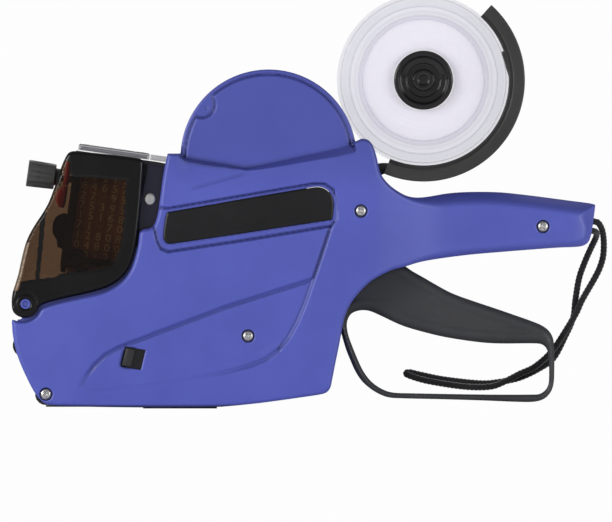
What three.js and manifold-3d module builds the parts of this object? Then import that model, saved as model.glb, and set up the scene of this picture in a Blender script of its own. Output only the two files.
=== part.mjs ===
// Hand-held price labeling gun, two print rows, label-roll holder swung open.
// Millimetres. +X runs from the nose to the end of the handle, +Z is up and
// +Y points to the gun's far (right) side. The origin is the centre of the flat
// pad under the bottom cover, on the gun's middle plane.
import * as THREE from 'three';
import { mergeVertices } from 'three/addons/utils/BufferGeometryUtils.js';
import Module from 'manifold-3d';

const wasm = await Module();
wasm.setup();

// ---------------------------------------------------------------- dimensions
// Half widths are measured from the middle plane.
const SHELL_WALL = 2.0;
const RIM_WALL = 1.8;             // top, end and belly edges of a shell
const BODY_HALF = 23.0;
const NOSE_HALF = 21.6;
const GRIP_HALF = 14.0;
const CHAMBER_HALF = 19.0;        // roll chamber walls
const CHAMBER_RADIUS = 37.0;
const TRIGGER_HALF = 8.0;
const REACH = 30;                 // half length of a cut that goes right through

// places on the side view, as [x, z]
const CHAMBER_CENTRE = [37.2, 105.4];
const TRIGGER_PIVOT = [56.7, 63.2];
const ARM_PIVOT = [76.0, 82.95];
const HOLDER_HINGE = [81.06, 99.12];
const ROLL_CENTRE = [102.27, 137.89];
const FEED_AXLE = [7.56, 25.83];
const COVER_HINGE = [-64.9, 43.9];
const BOTTOM_HINGE = [-56.3, 6.0];
const APPLICATOR_AXLE = [-65.3, 26.5];
const PRESSURE_AXLE = [7.56, 6.95];
const HANDLE_SCREW = [152.46, 76.44];
const MIDDLE_SCREW = [28.56, 30.45];
const DRIVE_PIN = [41.16, 65.73];

// pins and axles
const AXLE_RADIUS = 1.5;
const TRIGGER_PIN_RADIUS = 2.0;
const BORE_CLEARANCE = 0.15;
const AXLE_BORE = AXLE_RADIUS + BORE_CLEARANCE;
const TRIGGER_BORE = TRIGGER_PIN_RADIUS + BORE_CLEARANCE;
const PIN_HALF = 20.7;            // half length of the pins between the shells
const PIN_SOCKET_END = 20.9;

// feed gears: the two pitch radii add up to the trigger pivot to feed axle distance
const GEAR_MODULE = 2.058;
const SECTOR_TEETH = 50;          // on a full circle; only four are cut
const PINION_TEETH = 10;
const MESH_ANGLE = 217.3;         // degrees, from the trigger pivot to the feed axle
const GEAR_Y = [-12.6, -9.4];

// printing
const ARM_TILT = 8.0;             // degrees the print arm is raised at rest
const PRINT_FACE_Z = 36.5;        // type face at the end of the stroke
const PLATEN_BASE_Z = 31;
const PLATEN_TOP_Z = 35.0;

// one measured side outline per part; every point is [x, z]
// body shell, without the roll chamber, clockwise from the chamber's front
const SHELL_SIDE = [
  [-5.2, 107.1], [-0.8, 107.1], [2.5, 105.2], [27.7, 101.0], [65.1, 109.6], [73.1, 111.9],
  [76.0, 113.3], [78.5, 113.1], [80.4, 111.5], [81.7, 108.6], [84.2, 98.9], [85.9, 96.2],
  [88.2, 93.7], [91.6, 91.2], [95.3, 89.3], [99.5, 88.6], [117.6, 90.8], [134.4, 90.8],
  [153.3, 88.7], [174.5, 85.6], [174.0, 81.7], [172.3, 71.6], [171.1, 69.4], [168.4, 68.1],
  [121.8, 64.6], [100.8, 61.5], [89.5, 58.3], [84.8, 56.2], [80.6, 53.7], [77.1, 50.7],
  [73.9, 47.1], [71.4, 43.5], [69.6, 39.7], [67.7, 31.3], [63.1, 8.6], [61.5, 6.7],
  [58.4, 5.8], [33.6, 2.3], [16.8, 0.7], [8.4, 0.5], [-25.2, 0.5], [-54.6, 1.5],
  [-57.3, 2.5], [-59.8, 5.0], [-62.2, 8.6], [-66.6, 17.8], [-68.5, 22.9], [-69.7, 27.9],
  [-70.6, 37.4], [-66.4, 36.5], [-62.6, 37.4], [-59.8, 39.5], [-58.2, 42.0], [-52.1, 44.3],
  [-32.3, 48.9], [-27.3, 51.3], [-23.3, 54.6], [-20.5, 58.8], [-18.7, 64.0], [-16.8, 74.3],
  [-15.3, 75.3], [-12.6, 75.7], [-10.9, 77.2], [-9.8, 80.0], [-6.3, 102.3],
];
// front cover, clockwise from its top front corner
const COVER_SIDE = [
  [-44.7, 108.1], [-39.9, 107.8], [-17.2, 105.1], [-15.5, 103.7], [-15.3, 101.0],
  [-17.2, 78.3], [-18.1, 70.8], [-19.3, 64.9], [-21.1, 59.8], [-23.9, 55.6], [-27.9, 52.4],
  [-33.0, 50.1], [-52.5, 45.4], [-58.6, 43.3], [-60.1, 40.9], [-61.9, 39.1], [-64.9, 38.1],
  [-68.0, 38.8], [-70.1, 40.7], [-70.7, 43.9], [-70.4, 48.1], [-67.9, 56.5], [-64.7, 69.7],
  [-62.8, 73.9], [-55.2, 86.5], [-49.6, 102.1], [-47.9, 105.8], [-46.6, 107.5],
];
const TRIGGER_SIDE = [
  [94.1, 60.1], [97.4, 57.8], [112.6, 49.2], [116.8, 47.4], [148.3, 36.5], [152.5, 34.6],
  [155.2, 32.3], [156.7, 29.4], [157.2, 24.6], [157.2, 15.3], [156.9, 10.3], [155.7, 6.9],
  [153.3, 4.3], [149.9, 3.0], [144.9, 2.7], [92.4, 4.3], [87.4, 4.7], [83.2, 6.3],
  [79.6, 8.6], [76.4, 11.5], [73.7, 15.5], [71.7, 19.9], [69.8, 24.6], [67.2, 33.0],
  [60.5, 46.4], [55.9, 53.1], [52.0, 57.3], [40.2, 62.9], [38.3, 65.6], [39.6, 68.3],
  [51.5, 67.6], [57.1, 69.6], [66.0, 69.4], [75.5, 67.6], [86.0, 64.4],
];
const TRIGGER_OPENING = [
  [71.2, 38.9], [72.9, 40.4], [75.6, 41.2], [79.0, 41.1], [82.3, 39.9], [92.4, 35.2],
  [98.7, 33.1], [111.3, 30.0], [126.0, 27.8], [134.4, 27.3], [149.9, 27.3], [152.5, 26.7],
  [154.1, 24.8], [154.8, 21.6], [155.0, 13.2], [154.6, 9.7], [153.0, 7.3], [149.9, 5.9],
  [92.4, 6.5], [87.6, 7.1], [83.6, 8.9], [80.2, 11.5], [77.5, 14.9], [75.3, 19.1],
  [71.7, 27.9], [70.4, 32.1], [70.1, 35.9],
];
const BADGE_SIDE = [
  [-5.2, 82.3], [56.3, 92.9], [59.4, 92.8], [62.2, 91.3], [63.8, 88.8], [64.4, 85.9],
  [63.8, 79.4], [-3.8, 69.3], [-5.9, 69.7], [-6.8, 71.4], [-5.9, 80.0],
];
// leaf-shaped recess in the body panels
const LEAF_SIDE = [
  [55.9, 54.4], [18.9, 42.6], [-26.0, 25.6], [-31.5, 22.5], [-35.7, 18.7], [-43.3, 8.6],
  [-42.0, 6.9], [-12.6, 9.9], [4.2, 12.4], [18.9, 15.3], [29.4, 18.1], [36.1, 20.8],
  [41.2, 24.6], [45.4, 29.6], [49.1, 36.3], [52.5, 44.3],
];
// half width over the shells along the gun, as [x, y]
const SHELL_WIDTH = [
  [-80, NOSE_HALF - 0.4], [-60, NOSE_HALF], [-40, BODY_HALF], [82, BODY_HALF], [97, 19.2],
  [110, 15.5], [124, GRIP_HALF], [166, GRIP_HALF], [175, 11.0], [182, 6.0],
];
// face: shell half width at the head; pilotEnd: y where the far pilot hole stops
const SCREWS = [
  { name: 'screw_top', place: ARM_PIVOT, face: BODY_HALF, length: 33, pilotEnd: 14,
    seatRadius: 3.8, seatDepth: 3.4 },
  { name: 'screw_middle', place: MIDDLE_SCREW, face: 22.2, length: 32, pilotEnd: 14,
    seatRadius: 3.8, seatDepth: 3.4 },
  { name: 'screw_handle', place: HANDLE_SCREW, face: GRIP_HALF, length: 16, pilotEnd: 4.5,
    seatRadius: 3.8, seatDepth: 3.4 },
  { name: 'screw_nose', place: BOTTOM_HINGE, face: 22, length: 32, pilotEnd: 12,
    seatRadius: 3.3, seatDepth: 2.4 },
];

// ------------------------------------------------------------- mesh and solid
function toSolid(geometry) {
  const bare = geometry.clone();
  bare.deleteAttribute('normal');
  bare.deleteAttribute('uv');
  const merged = mergeVertices(bare, 1e-4);
  return new wasm.Manifold(new wasm.Mesh({
    numProp: 3,
    vertProperties: new Float32Array(merged.attributes.position.array),
    triVerts: new Uint32Array(merged.index.array),
  }));
}
function toGeometry(solid) {
  const mesh = solid.getMesh();
  const geometry = new THREE.BufferGeometry();
  const positions = new Float32Array(mesh.vertProperties);
  geometry.setAttribute('position', new THREE.BufferAttribute(positions, 3));
  geometry.setIndex(new THREE.BufferAttribute(new Uint32Array(mesh.triVerts), 1));
  geometry.computeVertexNormals();
  return geometry;
}
function add(parent, name, solid, material) {
  const mesh = new THREE.Mesh(toGeometry(solid), material);
  mesh.name = name;
  parent.add(mesh);
}
const union = (...solids) => solids.reduce((a, b) => a.add(b));
const cut = (solid, ...tools) => tools.reduce((a, b) => a.subtract(b), solid);
const mirrorY = (solid) => solid.mirror([0, 1, 0]);
const bothSides = (solid) => solid.add(mirrorY(solid));
// solid built on the +Y side, moved to the side given by the sign
const onSide = (side, solid) => (side < 0 ? mirrorY(solid) : solid);
const SIDES = [['left', -1], ['right', 1]];

// ------------------------------------------------------------------- outlines
const { degToRad } = THREE.MathUtils;
const offset = ([x, z], dx, dz) => [x + dx, z + dz];
const polar = ([x, z], radius, degrees) => [
  x + radius * Math.cos(degToRad(degrees)),
  z + radius * Math.sin(degToRad(degrees)),
];
const arc = (centre, radius, from, to, steps) =>
  Array.from({ length: steps + 1 }, (_, i) =>
    polar(centre, radius, from + ((to - from) * i) / steps));

// outline without repeated or collinear points, which a triangulated cap would skip
function clean(points) {
  const apart = points.filter((p, i) => {
    const next = points[(i + 1) % points.length];
    return Math.hypot(p[0] - next[0], p[1] - next[1]) > 1e-3;
  });
  return apart.filter((p, i) => {
    const before = apart[(i + apart.length - 1) % apart.length];
    const next = apart[(i + 1) % apart.length];
    const cross = (p[0] - before[0]) * (next[1] - p[1]) - (p[1] - before[1]) * (next[0] - p[0]);
    return Math.abs(cross) > 1e-4;
  });
}
// wall of the given thickness on the right-hand side of a run of points
function strip(points, thickness) {
  const shifted = points.map(([x, z], i) => {
    const before = points[Math.max(0, i - 1)];
    const next = points[Math.min(points.length - 1, i + 1)];
    const dx = next[0] - before[0];
    const dz = next[1] - before[1];
    const length = Math.hypot(dx, dz);
    return [x + (dz / length) * thickness, z - (dx / length) * thickness];
  });
  return points.concat(shifted.reverse());
}
// part of an outline from one of its points to a later one
function between(outline, start, end) {
  const indexOf = ([x, z]) => outline.findIndex((p) => p[0] === x && p[1] === z);
  return outline.slice(indexOf(start), indexOf(end) + 1);
}
// one flank to the other: [height in modules, share of the tooth pitch from the centre]
const TOOTH = [[-1.15, -0.30], [0, -0.205], [0.78, -0.10], [0.78, 0.10], [0, 0.205], [-1.15, 0.30]];
function gearTeeth(centre, teeth, phase, first = 0, end = teeth) {
  const pitch = 360 / teeth;
  const pitchRadius = (GEAR_MODULE * teeth) / 2;
  const points = [];
  for (let i = first; i < end; i++) {
    for (const [height, share] of TOOTH) {
      const angle = phase + (i + share) * pitch;
      points.push(polar(centre, pitchRadius + height * GEAR_MODULE, angle));
    }
  }
  return points;
}

// --------------------------------------------------------------- basic solids
function extrude(points, depth) {
  const shape = new THREE.Shape(clean(points).map(([u, v]) => new THREE.Vector2(u, v)));
  return new THREE.ExtrudeGeometry(shape, { depth, bevelEnabled: false, steps: 1 });
}
// plate with an [x, z] outline
function plateY(points, y0, y1) {
  return toSolid(extrude(points, y1 - y0).rotateX(Math.PI / 2).translate(0, y1, 0));
}
// prism with an [x, y] outline
function prismZ(points, z0, z1) {
  return toSolid(extrude(points, z1 - z0).translate(0, 0, z0));
}
// prism with a [y, z] outline
function prismX(points, x0, x1) {
  const geometry = extrude(points, x1 - x0).rotateX(Math.PI / 2).rotateZ(Math.PI / 2);
  return toSolid(geometry.translate(x0, 0, 0));
}
function cylY([x, z], radius, y0, y1, segments) {
  const geometry = new THREE.CylinderGeometry(radius, radius, y1 - y0, segments);
  return toSolid(geometry.translate(x, (y0 + y1) / 2, z));
}
// cylinder centred on the middle plane
const rodY = (centre, radius, half, segments) => cylY(centre, radius, -half, half, segments);
function cylX([y, z], radius, x0, x1, segments) {
  const geometry = new THREE.CylinderGeometry(radius, radius, x1 - x0, segments);
  return toSolid(geometry.rotateZ(Math.PI / 2).translate((x0 + x1) / 2, y, z));
}
function box(x0, x1, y0, y1, z0, z1) {
  const geometry = new THREE.BoxGeometry(x1 - x0, y1 - y0, z1 - z0);
  return toSolid(geometry.translate((x0 + x1) / 2, (y0 + y1) / 2, (z0 + z1) / 2));
}
// body of revolution about a y axis; the [radius, y] profile is closed here
function latheY([x, z], profile, segments) {
  const points = [...profile, profile[0]].map(([r, y]) => new THREE.Vector2(r, y));
  const geometry = new THREE.LatheGeometry(points, segments).translate(x, 0, z);
  const solid = toSolid(geometry);
  if (solid.volume() >= 0) return solid;
  // the profile ran the other way round, so turn every triangle over
  const index = geometry.index.array;
  for (let i = 0; i < index.length; i += 3) [index[i], index[i + 1]] = [index[i + 1], index[i]];
  return toSolid(geometry);
}
const ring = (centre, inner, outer, y0, y1, segments) =>
  latheY(centre, [[inner, y0], [outer, y0], [outer, y1], [inner, y1]], segments);
function tube(points, radius, sides, steps) {
  const extrudePath = new THREE.CatmullRomCurve3(points.map((p) => new THREE.Vector3(...p)));
  const section = arc([0, 0], radius, 0, 360, sides).slice(0, -1);
  const shape = new THREE.Shape(section.map(([u, v]) => new THREE.Vector2(u, v)));
  return toSolid(new THREE.ExtrudeGeometry(shape, { steps, extrudePath, bevelEnabled: false }));
}

// ----------------------------------------------------------------- materials
const material = (settings) => new THREE.MeshStandardMaterial(settings);
const SEE_THROUGH = { opacity: 0.5, transparent: true };
const BLUE = material({ color: 0x3b41b0, roughness: 0.42 });
const BLACK = material({ color: 0x1c1c20, roughness: 0.45 });
const GREY = material({ color: 0x3a3a3e, roughness: 0.5 });
const NAVY = material({ color: 0x1d1b45, roughness: 0.4 });
const SMOKE = material({ color: 0x4a2c22, roughness: 0.15, ...SEE_THROUGH });
const CLEAR = material({ color: 0xe6e8ee, roughness: 0.12, ...SEE_THROUGH });
const WHITE = material({ color: 0xf1f1f3, roughness: 0.6 });
const YELLOW = material({ color: 0xd9a52a, roughness: 0.6 });
const RED = material({ color: 0xc22a20, roughness: 0.45 });
const STEEL = material({ color: 0xb9bcc2, roughness: 0.3, metalness: 1 });
const RUBBER = material({ color: 0x161618, roughness: 0.8 });
const FELT = material({ color: 0x24242c, roughness: 0.95 });
const CORD = material({ color: 0x131315, roughness: 0.85 });
const CARD = material({ color: 0xb8a585, roughness: 0.8 });

// -------------------------------------------------------------- body shells
const wallAlong = (outline, start, end, thickness, y0, y1) =>
  plateY(strip(between(outline, start, end), thickness), y0, y1);

function shellRims() {
  const rim = (start, end) => wallAlong(SHELL_SIDE, start, end, RIM_WALL, 0, BODY_HALF);
  const triggerSlot = plateY([[60, 31.2], [112, 31.2], [112, 66], [60, 66]],
    -1, TRIGGER_HALF + 1.4);
  const handleUnderside = [[168.4, 68.1], [159.6, 67.6], [150.5, 67.0]];
  const noseFront = [[-63.0, 10.2], [-64.3, 12.8], [-66.6, 17.8]];
  return union(
    rim([91.6, 91.2], [174.5, 85.6]),       // top of the handle
    rim([174.5, 85.6], [174.0, 81.7]),      // handle end, above the strap opening
    rim([172.3, 71.6], [168.4, 68.1]),      // handle end, below the strap opening
    plateY(strip(handleUnderside, RIM_WALL), 0, BODY_HALF),
    rim([100.8, 61.5], [33.6, 2.3]).subtract(triggerSlot),
    plateY(strip(noseFront, RIM_WALL), 0, BODY_HALF),
  );
}
function shellBosses() {
  return union(
    cylY(ARM_PIVOT, 3.0, 0.15, 21.5, 18),
    cylY(MIDDLE_SCREW, 3.0, 0.15, 21.5, 16),
    cylY(HANDLE_SCREW, 3.2, 0.15, 12.5, 16),
    cylY(BOTTOM_HINGE, 2.7, 0.15, 21, 20),
    cylY(TRIGGER_PIVOT, 4.6, 17.2, 21.5, 16),
    cylY(FEED_AXLE, 4.0, 17.2, 21.5, 16),
    cylY(HOLDER_HINGE, 2.8, 19.6, 21.5, 16),
    cylY(APPLICATOR_AXLE, 3.0, 18.4, 20.4, 14),
  );
}
// ear with a stub for the front cover to turn on
function addCoverEar(shell) {
  const ear = plateY([
    [-66.6, 30.0], [-66.6, 40.6], [-67.6, 42.2], [-67.8, 44.6], [-66.9, 46.8],
    [-64.9, 47.7], [-62.3, 46.8], [-60.9, 43.9], [-60.9, 30.0],
  ], 17.2, 19.9);
  return cut(
    shell.add(ear),
    cylY(APPLICATOR_AXLE, 3.4, 17.0, 18.39, 14),
    cylY(APPLICATOR_AXLE, AXLE_BORE, 10, 20.2, 16),
  ).add(cylY(COVER_HINGE, 2.1, 19.0, 22.0, 14));
}
// one shell without screw holes, on the +Y side
function shellHalf() {
  const innerWidth = SHELL_WIDTH.map(([x, y]) => [x, y - SHELL_WALL]);
  const wallBand = prismZ(SHELL_WIDTH.concat(innerWidth.reverse()), -10, 200);
  const fullBand = prismZ(SHELL_WIDTH.concat([[182, 0], [-80, 0]]), -10, 200);
  const chamberInner = CHAMBER_HALF - SHELL_WALL;
  let shell = union(
    plateY(SHELL_SIDE, 0, 30).intersect(wallBand),
    shellRims().intersect(fullBand),
    // ledge between chamber wall and panel
    wallAlong(SHELL_SIDE, [2.5, 105.2], [73.1, 111.9], RIM_WALL, chamberInner, BODY_HALF),
    plateY(arc(CHAMBER_CENTRE, CHAMBER_RADIUS, -6, 186, 28), chamberInner, CHAMBER_HALF),
    shellBosses(),
  );
  shell = cut(
    shell,
    cylY(TRIGGER_PIVOT, TRIGGER_BORE, 10, PIN_SOCKET_END, 16),
    cylY(FEED_AXLE, AXLE_BORE, 10, PIN_SOCKET_END, 14),
    cylY(HOLDER_HINGE, AXLE_BORE, 10, PIN_SOCKET_END, 14),
  );
  const lipLine = between(SHELL_SIDE, [-52.1, 44.3], [-18.7, 64.0]);
  shell = union(
    addCoverEar(shell),
    // lip that closes the gap to the front cover from behind
    plateY(strip(lipLine, -2.0), 18.2, 19.9),
    plateY(strip(lipLine, 1.6), 18.2, 21.6),
    // rests for the platen
    box(-44, -40, 20.75, 22, PLATEN_BASE_Z, PLATEN_TOP_Z),
    box(-20, -16, 20.75, 22, PLATEN_BASE_Z, PLATEN_TOP_Z),
  );
  // the badge outline grown a little about its middle
  const badgeRecess = BADGE_SIDE.map(([x, z]) => [29 + (x - 29) * 1.008, 81 + (z - 81) * 1.03]);
  const latchSlot = [[-25.0, 17.6], [-16.4, 16.2], [-14.4, 24.6], [-23.0, 26.0]];
  return cut(
    shell,
    plateY(LEAF_SIDE, 22.2, 26),
    plateY(badgeRecess, 22.0, 26),
    plateY(latchSlot, 15, 26),
  );
}
// far shell: blind pilot holes
const farShell = (half) =>
  cut(half, ...SCREWS.map(({ place, pilotEnd }) => cylY(place, 1.35, -1, pilotEnd, 10)));
// near shell: clearance holes and counterbored seats for the heads
function nearShell(half) {
  let shell = mirrorY(half);
  for (const { place, face, seatRadius, seatDepth } of SCREWS) {
    shell = cut(
      shell.add(cylY(place, seatRadius, -face + 0.3, -face + seatDepth, 16)),
      cylY(place, 1.6, -face - 2, 1, 12),
      cylY(place, 2.8, -face - 2, -face + 1.9, 16),
    );
  }
  return shell;
}
// cross-head screw, head towards -Y
function screw({ place, face, length }) {
  const headY = -face + 0.5;
  const profile = [
    [0, 0], [1.6, 0], [2.35, 0.5], [2.35, 1.3], [1.2, 1.3], [1.2, length], [0, length + 0.8],
  ];
  const [x, z] = place;
  const slot = (halfX, halfZ) =>
    box(x - halfX, x + halfX, headY - 1, headY + 0.6, z - halfZ, z + halfZ);
  const body = latheY(place, profile.map(([r, y]) => [r, headY + y]), 14);
  return cut(body, slot(1.5, 0.3), slot(0.3, 1.5));
}

// ------------------------------------------------------- fixed inner pieces
function platen() {
  return box(-44, -14, -20.6, 20.6, PLATEN_BASE_Z, PLATEN_TOP_Z)
    .subtract(box(-42, -16, -18, 18, 30, 33.4));
}
function peelPlate() {
  return plateY([
    [-44.6, 33.4], [-59.6, 33.1], [-60.2, 32.7], [-59.6, 32.2], [-48.0, 31.2],
    [-46.4, 24.0], [-45.6, 24.2], [-46.8, 31.6], [-44.6, 32.4],
  ], -16.6, 16.6);
}
// coil round the trigger pivot with two straight ends
function triggerSpring() {
  const [x, z] = TRIGGER_PIVOT;
  const startY = 9.4;
  const width = 3.0;
  const steps = 48;
  const coil = arc(TRIGGER_PIVOT, 4.0, -70, -70 + 360 * 3 + 150, steps)
    .map(([coilX, coilZ], i) => [coilX, startY + (width * i) / steps, coilZ]);
  const points = [[x + 10.5, startY, z - 4.4], ...coil, [x + 3.4, 12.6, z + 11.5]];
  return tube(points, 0.4, 4, 52);
}
// cord that leaves the handle end, hangs behind the trigger and comes back; [x, y, z]
const STRAP_PATH = [
  [170.6, 1.8, 79.0], [173.6, 2.2, 78.6], [175.8, 3.6, 77.8], [177.4, 6.2, 74.6],
  [178.0, 9.2, 69.5], [177.7, 11.4, 64.0], [176.4, 12.2, 59.4], [174.3, 12.4, 55.0],
  [168.9, 12.4, 45.6], [166.6, 12.4, 40.5], [162.6, 12.4, 33.6], [156.2, 12.4, 24.0],
  [149.1, 12.4, 17.6], [142.8, 12.3, 14.6], [136.5, 12.1, 11.4], [130.2, 12.0, 9.2],
  [119.7, 12.0, 8.8], [105.0, 12.1, 9.6], [97.6, 12.4, 11.8], [94.9, 13.0, 14.2],
  [96.6, 13.9, 16.6], [101.0, 14.8, 16.8], [111.0, 15.4, 14.2], [126.0, 15.6, 12.0],
  [134.4, 15.6, 11.8], [142.8, 15.6, 13.0], [151.2, 15.7, 17.0], [157.0, 15.7, 21.4],
  [161.7, 15.7, 30.2], [165.1, 15.6, 38.0], [166.1, 15.4, 45.8], [167.6, 15.0, 54.6],
  [169.8, 14.0, 61.0], [172.4, 11.4, 67.0], [174.6, 7.6, 71.6], [174.9, 3.6, 73.8],
  [173.4, 0.2, 74.6], [170.4, -1.6, 74.8],
];

// ------------------------------------------------------- trigger and label feed
// trigger with a toothed sector on the near side that drives the feed gear
function trigger() {
  const teeth = gearTeeth(TRIGGER_PIVOT, SECTOR_TEETH, MESH_ANGLE, -3, 1);
  const arm = [
    offset(TRIGGER_PIVOT, -1, -6), offset(TRIGGER_PIVOT, -5, 3),
    polar(TRIGGER_PIVOT, 47.5, 196), polar(TRIGGER_PIVOT, 47.5, 203.5),
  ];
  const body = union(
    plateY(TRIGGER_SIDE, -TRIGGER_HALF, TRIGGER_HALF)
      .subtract(plateY(TRIGGER_OPENING, -REACH, REACH)),
    plateY(teeth.concat(arc(TRIGGER_PIVOT, 46.9, 226, 191, 5)), ...GEAR_Y),
    plateY(arm, ...GEAR_Y),
    cylY(TRIGGER_PIVOT, 6.0, GEAR_Y[0], -7.5, 20),
  );
  return cut(body, rodY(TRIGGER_PIVOT, TRIGGER_BORE, REACH, 16), rodY(DRIVE_PIN, 1.98, REACH, 14));
}
const feedBore = () => rodY(FEED_AXLE, AXLE_BORE, REACH, 14);
function feedGear() {
  // seen from the feed axle the mesh is the other way; half a pitch puts a gap there
  const phase = MESH_ANGLE - 180 + 180 / PINION_TEETH;
  return plateY(gearTeeth(FEED_AXLE, PINION_TEETH, phase), ...GEAR_Y)
    .add(cylY(FEED_AXLE, 4.5, -9.5, -7.2, 14))
    .subtract(feedBore());
}
// eight-lobed wheel, hollowed round the hub on both faces
function feedWheel() {
  const lobe = [[12.6, -14], [14.4, -4], [14.4, 4], [12.6, 14]];  // [radius, degrees]
  const star = [];
  for (let i = 0; i < 8; i++) {
    for (const [radius, angle] of lobe) star.push(polar(FEED_AXLE, radius, i * 45 + angle));
  }
  return plateY(star, -5.0, 5.0)
    .subtract(bothSides(ring(FEED_AXLE, 4.5, 10.6, 1.2, 6, 14)))
    .add(rodY(FEED_AXLE, 4.5, 6.6, 14))
    .subtract(feedBore());
}

// -------------------------------------------------------------- covers, latch
function bottomCover() {
  const plan = [
    [-56.3, -18.8], [-47, -20.0], [18, -20.4], [18, 20.4], [-47, 20.0], [-56.3, 18.8],
  ];
  const rollerBracket = [[3.5, 2], [11.6, 2], [10.4, 9.2], [4.8, 9.2]];
  const latchPost = [[-31.5, 2], [-26.6, 2], [-27.2, 21.5], [-29.2, 21.5]];
  const cover = union(
    prismZ(plan, 0.7, 2.5),
    box(-15.5, 15.5, -12, 12, 0, 1.5),
    rodY(BOTTOM_HINGE, 4.6, 17, 18),
    box(12, 16, -10.6, -8.8, 2, 9),
    bothSides(plateY(rollerBracket, 8.8, 10.6)),
    bothSides(plateY(latchPost, 17.6, 20.0)),
  );
  return cut(cover, rodY(BOTTOM_HINGE, 2.95, REACH, 20), rodY(PRESSURE_AXLE, 1.3, REACH, 16));
}
function latchSlide() {
  const button = [[-24.4, 18.2], [-20.6, 17.6], [-19.0, 24.6], [-22.6, 25.2]];
  // closes the slot behind the button
  const shutter = [[-23.0, 17.0], [-13.0, 16.4], [-12.6, 25.0], [-22.6, 25.4]];
  return union(
    box(-23.6, -20.4, -20.6, 20.6, 19.4, 23.2),
    bothSides(plateY(button, 20.2, 23.3)),
    bothSides(plateY(shutter, 19.4, 20.5)),
  );
}
// two side walls and a front wall, whose upper part is open in the middle
function frontCover() {
  const wall = 1.6;
  const low = [-70.4, 48.1];
  const middle = [-64.7, 69.7];
  const top = [-46.6, 107.5];
  return union(
    bothSides(plateY(COVER_SIDE, 20.2, 20.2 + wall)),
    wallAlong(COVER_SIDE, low, middle, wall, -20.5, 20.5),
    bothSides(wallAlong(COVER_SIDE, middle, top, wall, 13.8, 20.5)),
  ).subtract(rodY(COVER_HINGE, 2.4, REACH, 14));
}

// ------------------------------------------------ print arm and printing head
// places here are with the arm level, as at the end of the stroke
const KNOB_Z = 79.3;              // selector shaft height
const KNOB_Y = 7.0;               // selector shaft offset from the middle plane
const KNOB_RADIUS = 5.65;
const SELECTOR_RADIUS = 1.5;
const INK_PIVOT = [-40.7, 46.5];
const INK_ROLLER = [-30.0, 32.7];
const INK_ROLLER_RADIUS = 3.5;
const RIVET = [-12.4, 75.6];
const RIVET_BORE = 1.1;
const HEAD = { front: -45.6, back: -13.8, half: 12.6, top: 91.4, wall: 2.4, roof: 2.2 };
const BANDS = { front: -42.6, pitch: 4.3, count: 6, groove: 0.5 };
const BANDS_BACK = BANDS.front + BANDS.count * BANDS.pitch;

function printArm() {
  const side = [
    [81.0, 84.5], [79.0, 87.8], [75.5, 89.0], [60, 89.0], [20, 90.0], [-12, 91.5],
    [-46, 91.5], [-46, 42.6], [-36.0, 42.6], [-35.0, 45.0], [-11.0, 45.0], [-8.0, 54],
    [20, 57], [38, 56.4], [49.5, 56.4], [51.0, 60], [52.4, 68.2], [60, 69.6],
    [74, 77.6], [79.5, 79.3],
  ];
  const driveSlot = [
    [39.3, 58.4], [46.7, 58.4], [48.2, 60.0], [48.2, 62.0],
    [46.7, 63.7], [39.3, 63.7], [37.8, 62.0], [37.8, 60.0],
  ];
  // window onto the bands
  const window = [[-43, 50.5], [-37, 50.5], [-36.4, 47.6], [-17, 47.6], [-17, 86.5], [-43, 86.5]];
  const body = bothSides(plateY(side, 14.0, 16.0)).add(box(-13.4, -11.2, -14.5, 14.5, 46, HEAD.top));
  return cut(
    body,
    rodY(ARM_PIVOT, 3.3, REACH, 18),
    rodY(INK_PIVOT, 1.15, REACH, 16),
    plateY(driveSlot, -REACH, REACH),
    bothSides(cylY(RIVET, RIVET_BORE, 14.7, REACH, 16)),
    plateY(window, -REACH, REACH),
  );
}
// end plates, roof and middle wall, open for the shafts and above the bands
function headHousing() {
  const { front, back, half, top, wall, roof } = HEAD;
  const housing = union(
    box(front, front + wall, -half, half, 40, top),
    box(back - wall, back, -half, half, 40, top),
    box(front, back, -half, half, top - roof, top),
    box(front, back, -0.7, 0.7, 42, top),
  );
  return cut(
    housing,
    cylX([-KNOB_Y, KNOB_Z], 1.75, -60, 0, 20),
    cylX([KNOB_Y, KNOB_Z], 1.75, -60, 0, 20),
    bothSides(box(-41.5, -18, 2.0, 11.4, 88, 93)),
  );
}
function headWindow() {
  return box(-45.2, -15.0, -12.4, 12.4, 91.8, 94.8)
    .add(box(-15.1, -5.8, -12.4, 12.4, 91.8, 94.2))
    .subtract(box(-42.8, -17.4, -11.2, 11.2, 91, 93.6));
}
function headSidePlate() {
  const side = [[-15.8, 90.4], [-2.6, 89.6], [-2.6, 60.0], [-9.0, 58.0], [-15.8, 62.0]];
  return plateY(side, 16.3, 17.8).subtract(rodY(RIVET, RIVET_BORE, REACH, 16));
}
function rivet() {
  const profile = [[0, 14.85], [1.0, 14.85], [1.0, 17.95], [2.4, 17.95], [2.0, 18.7], [0, 19.0]];
  return latheY(RIVET, profile, 18);
}
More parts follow.
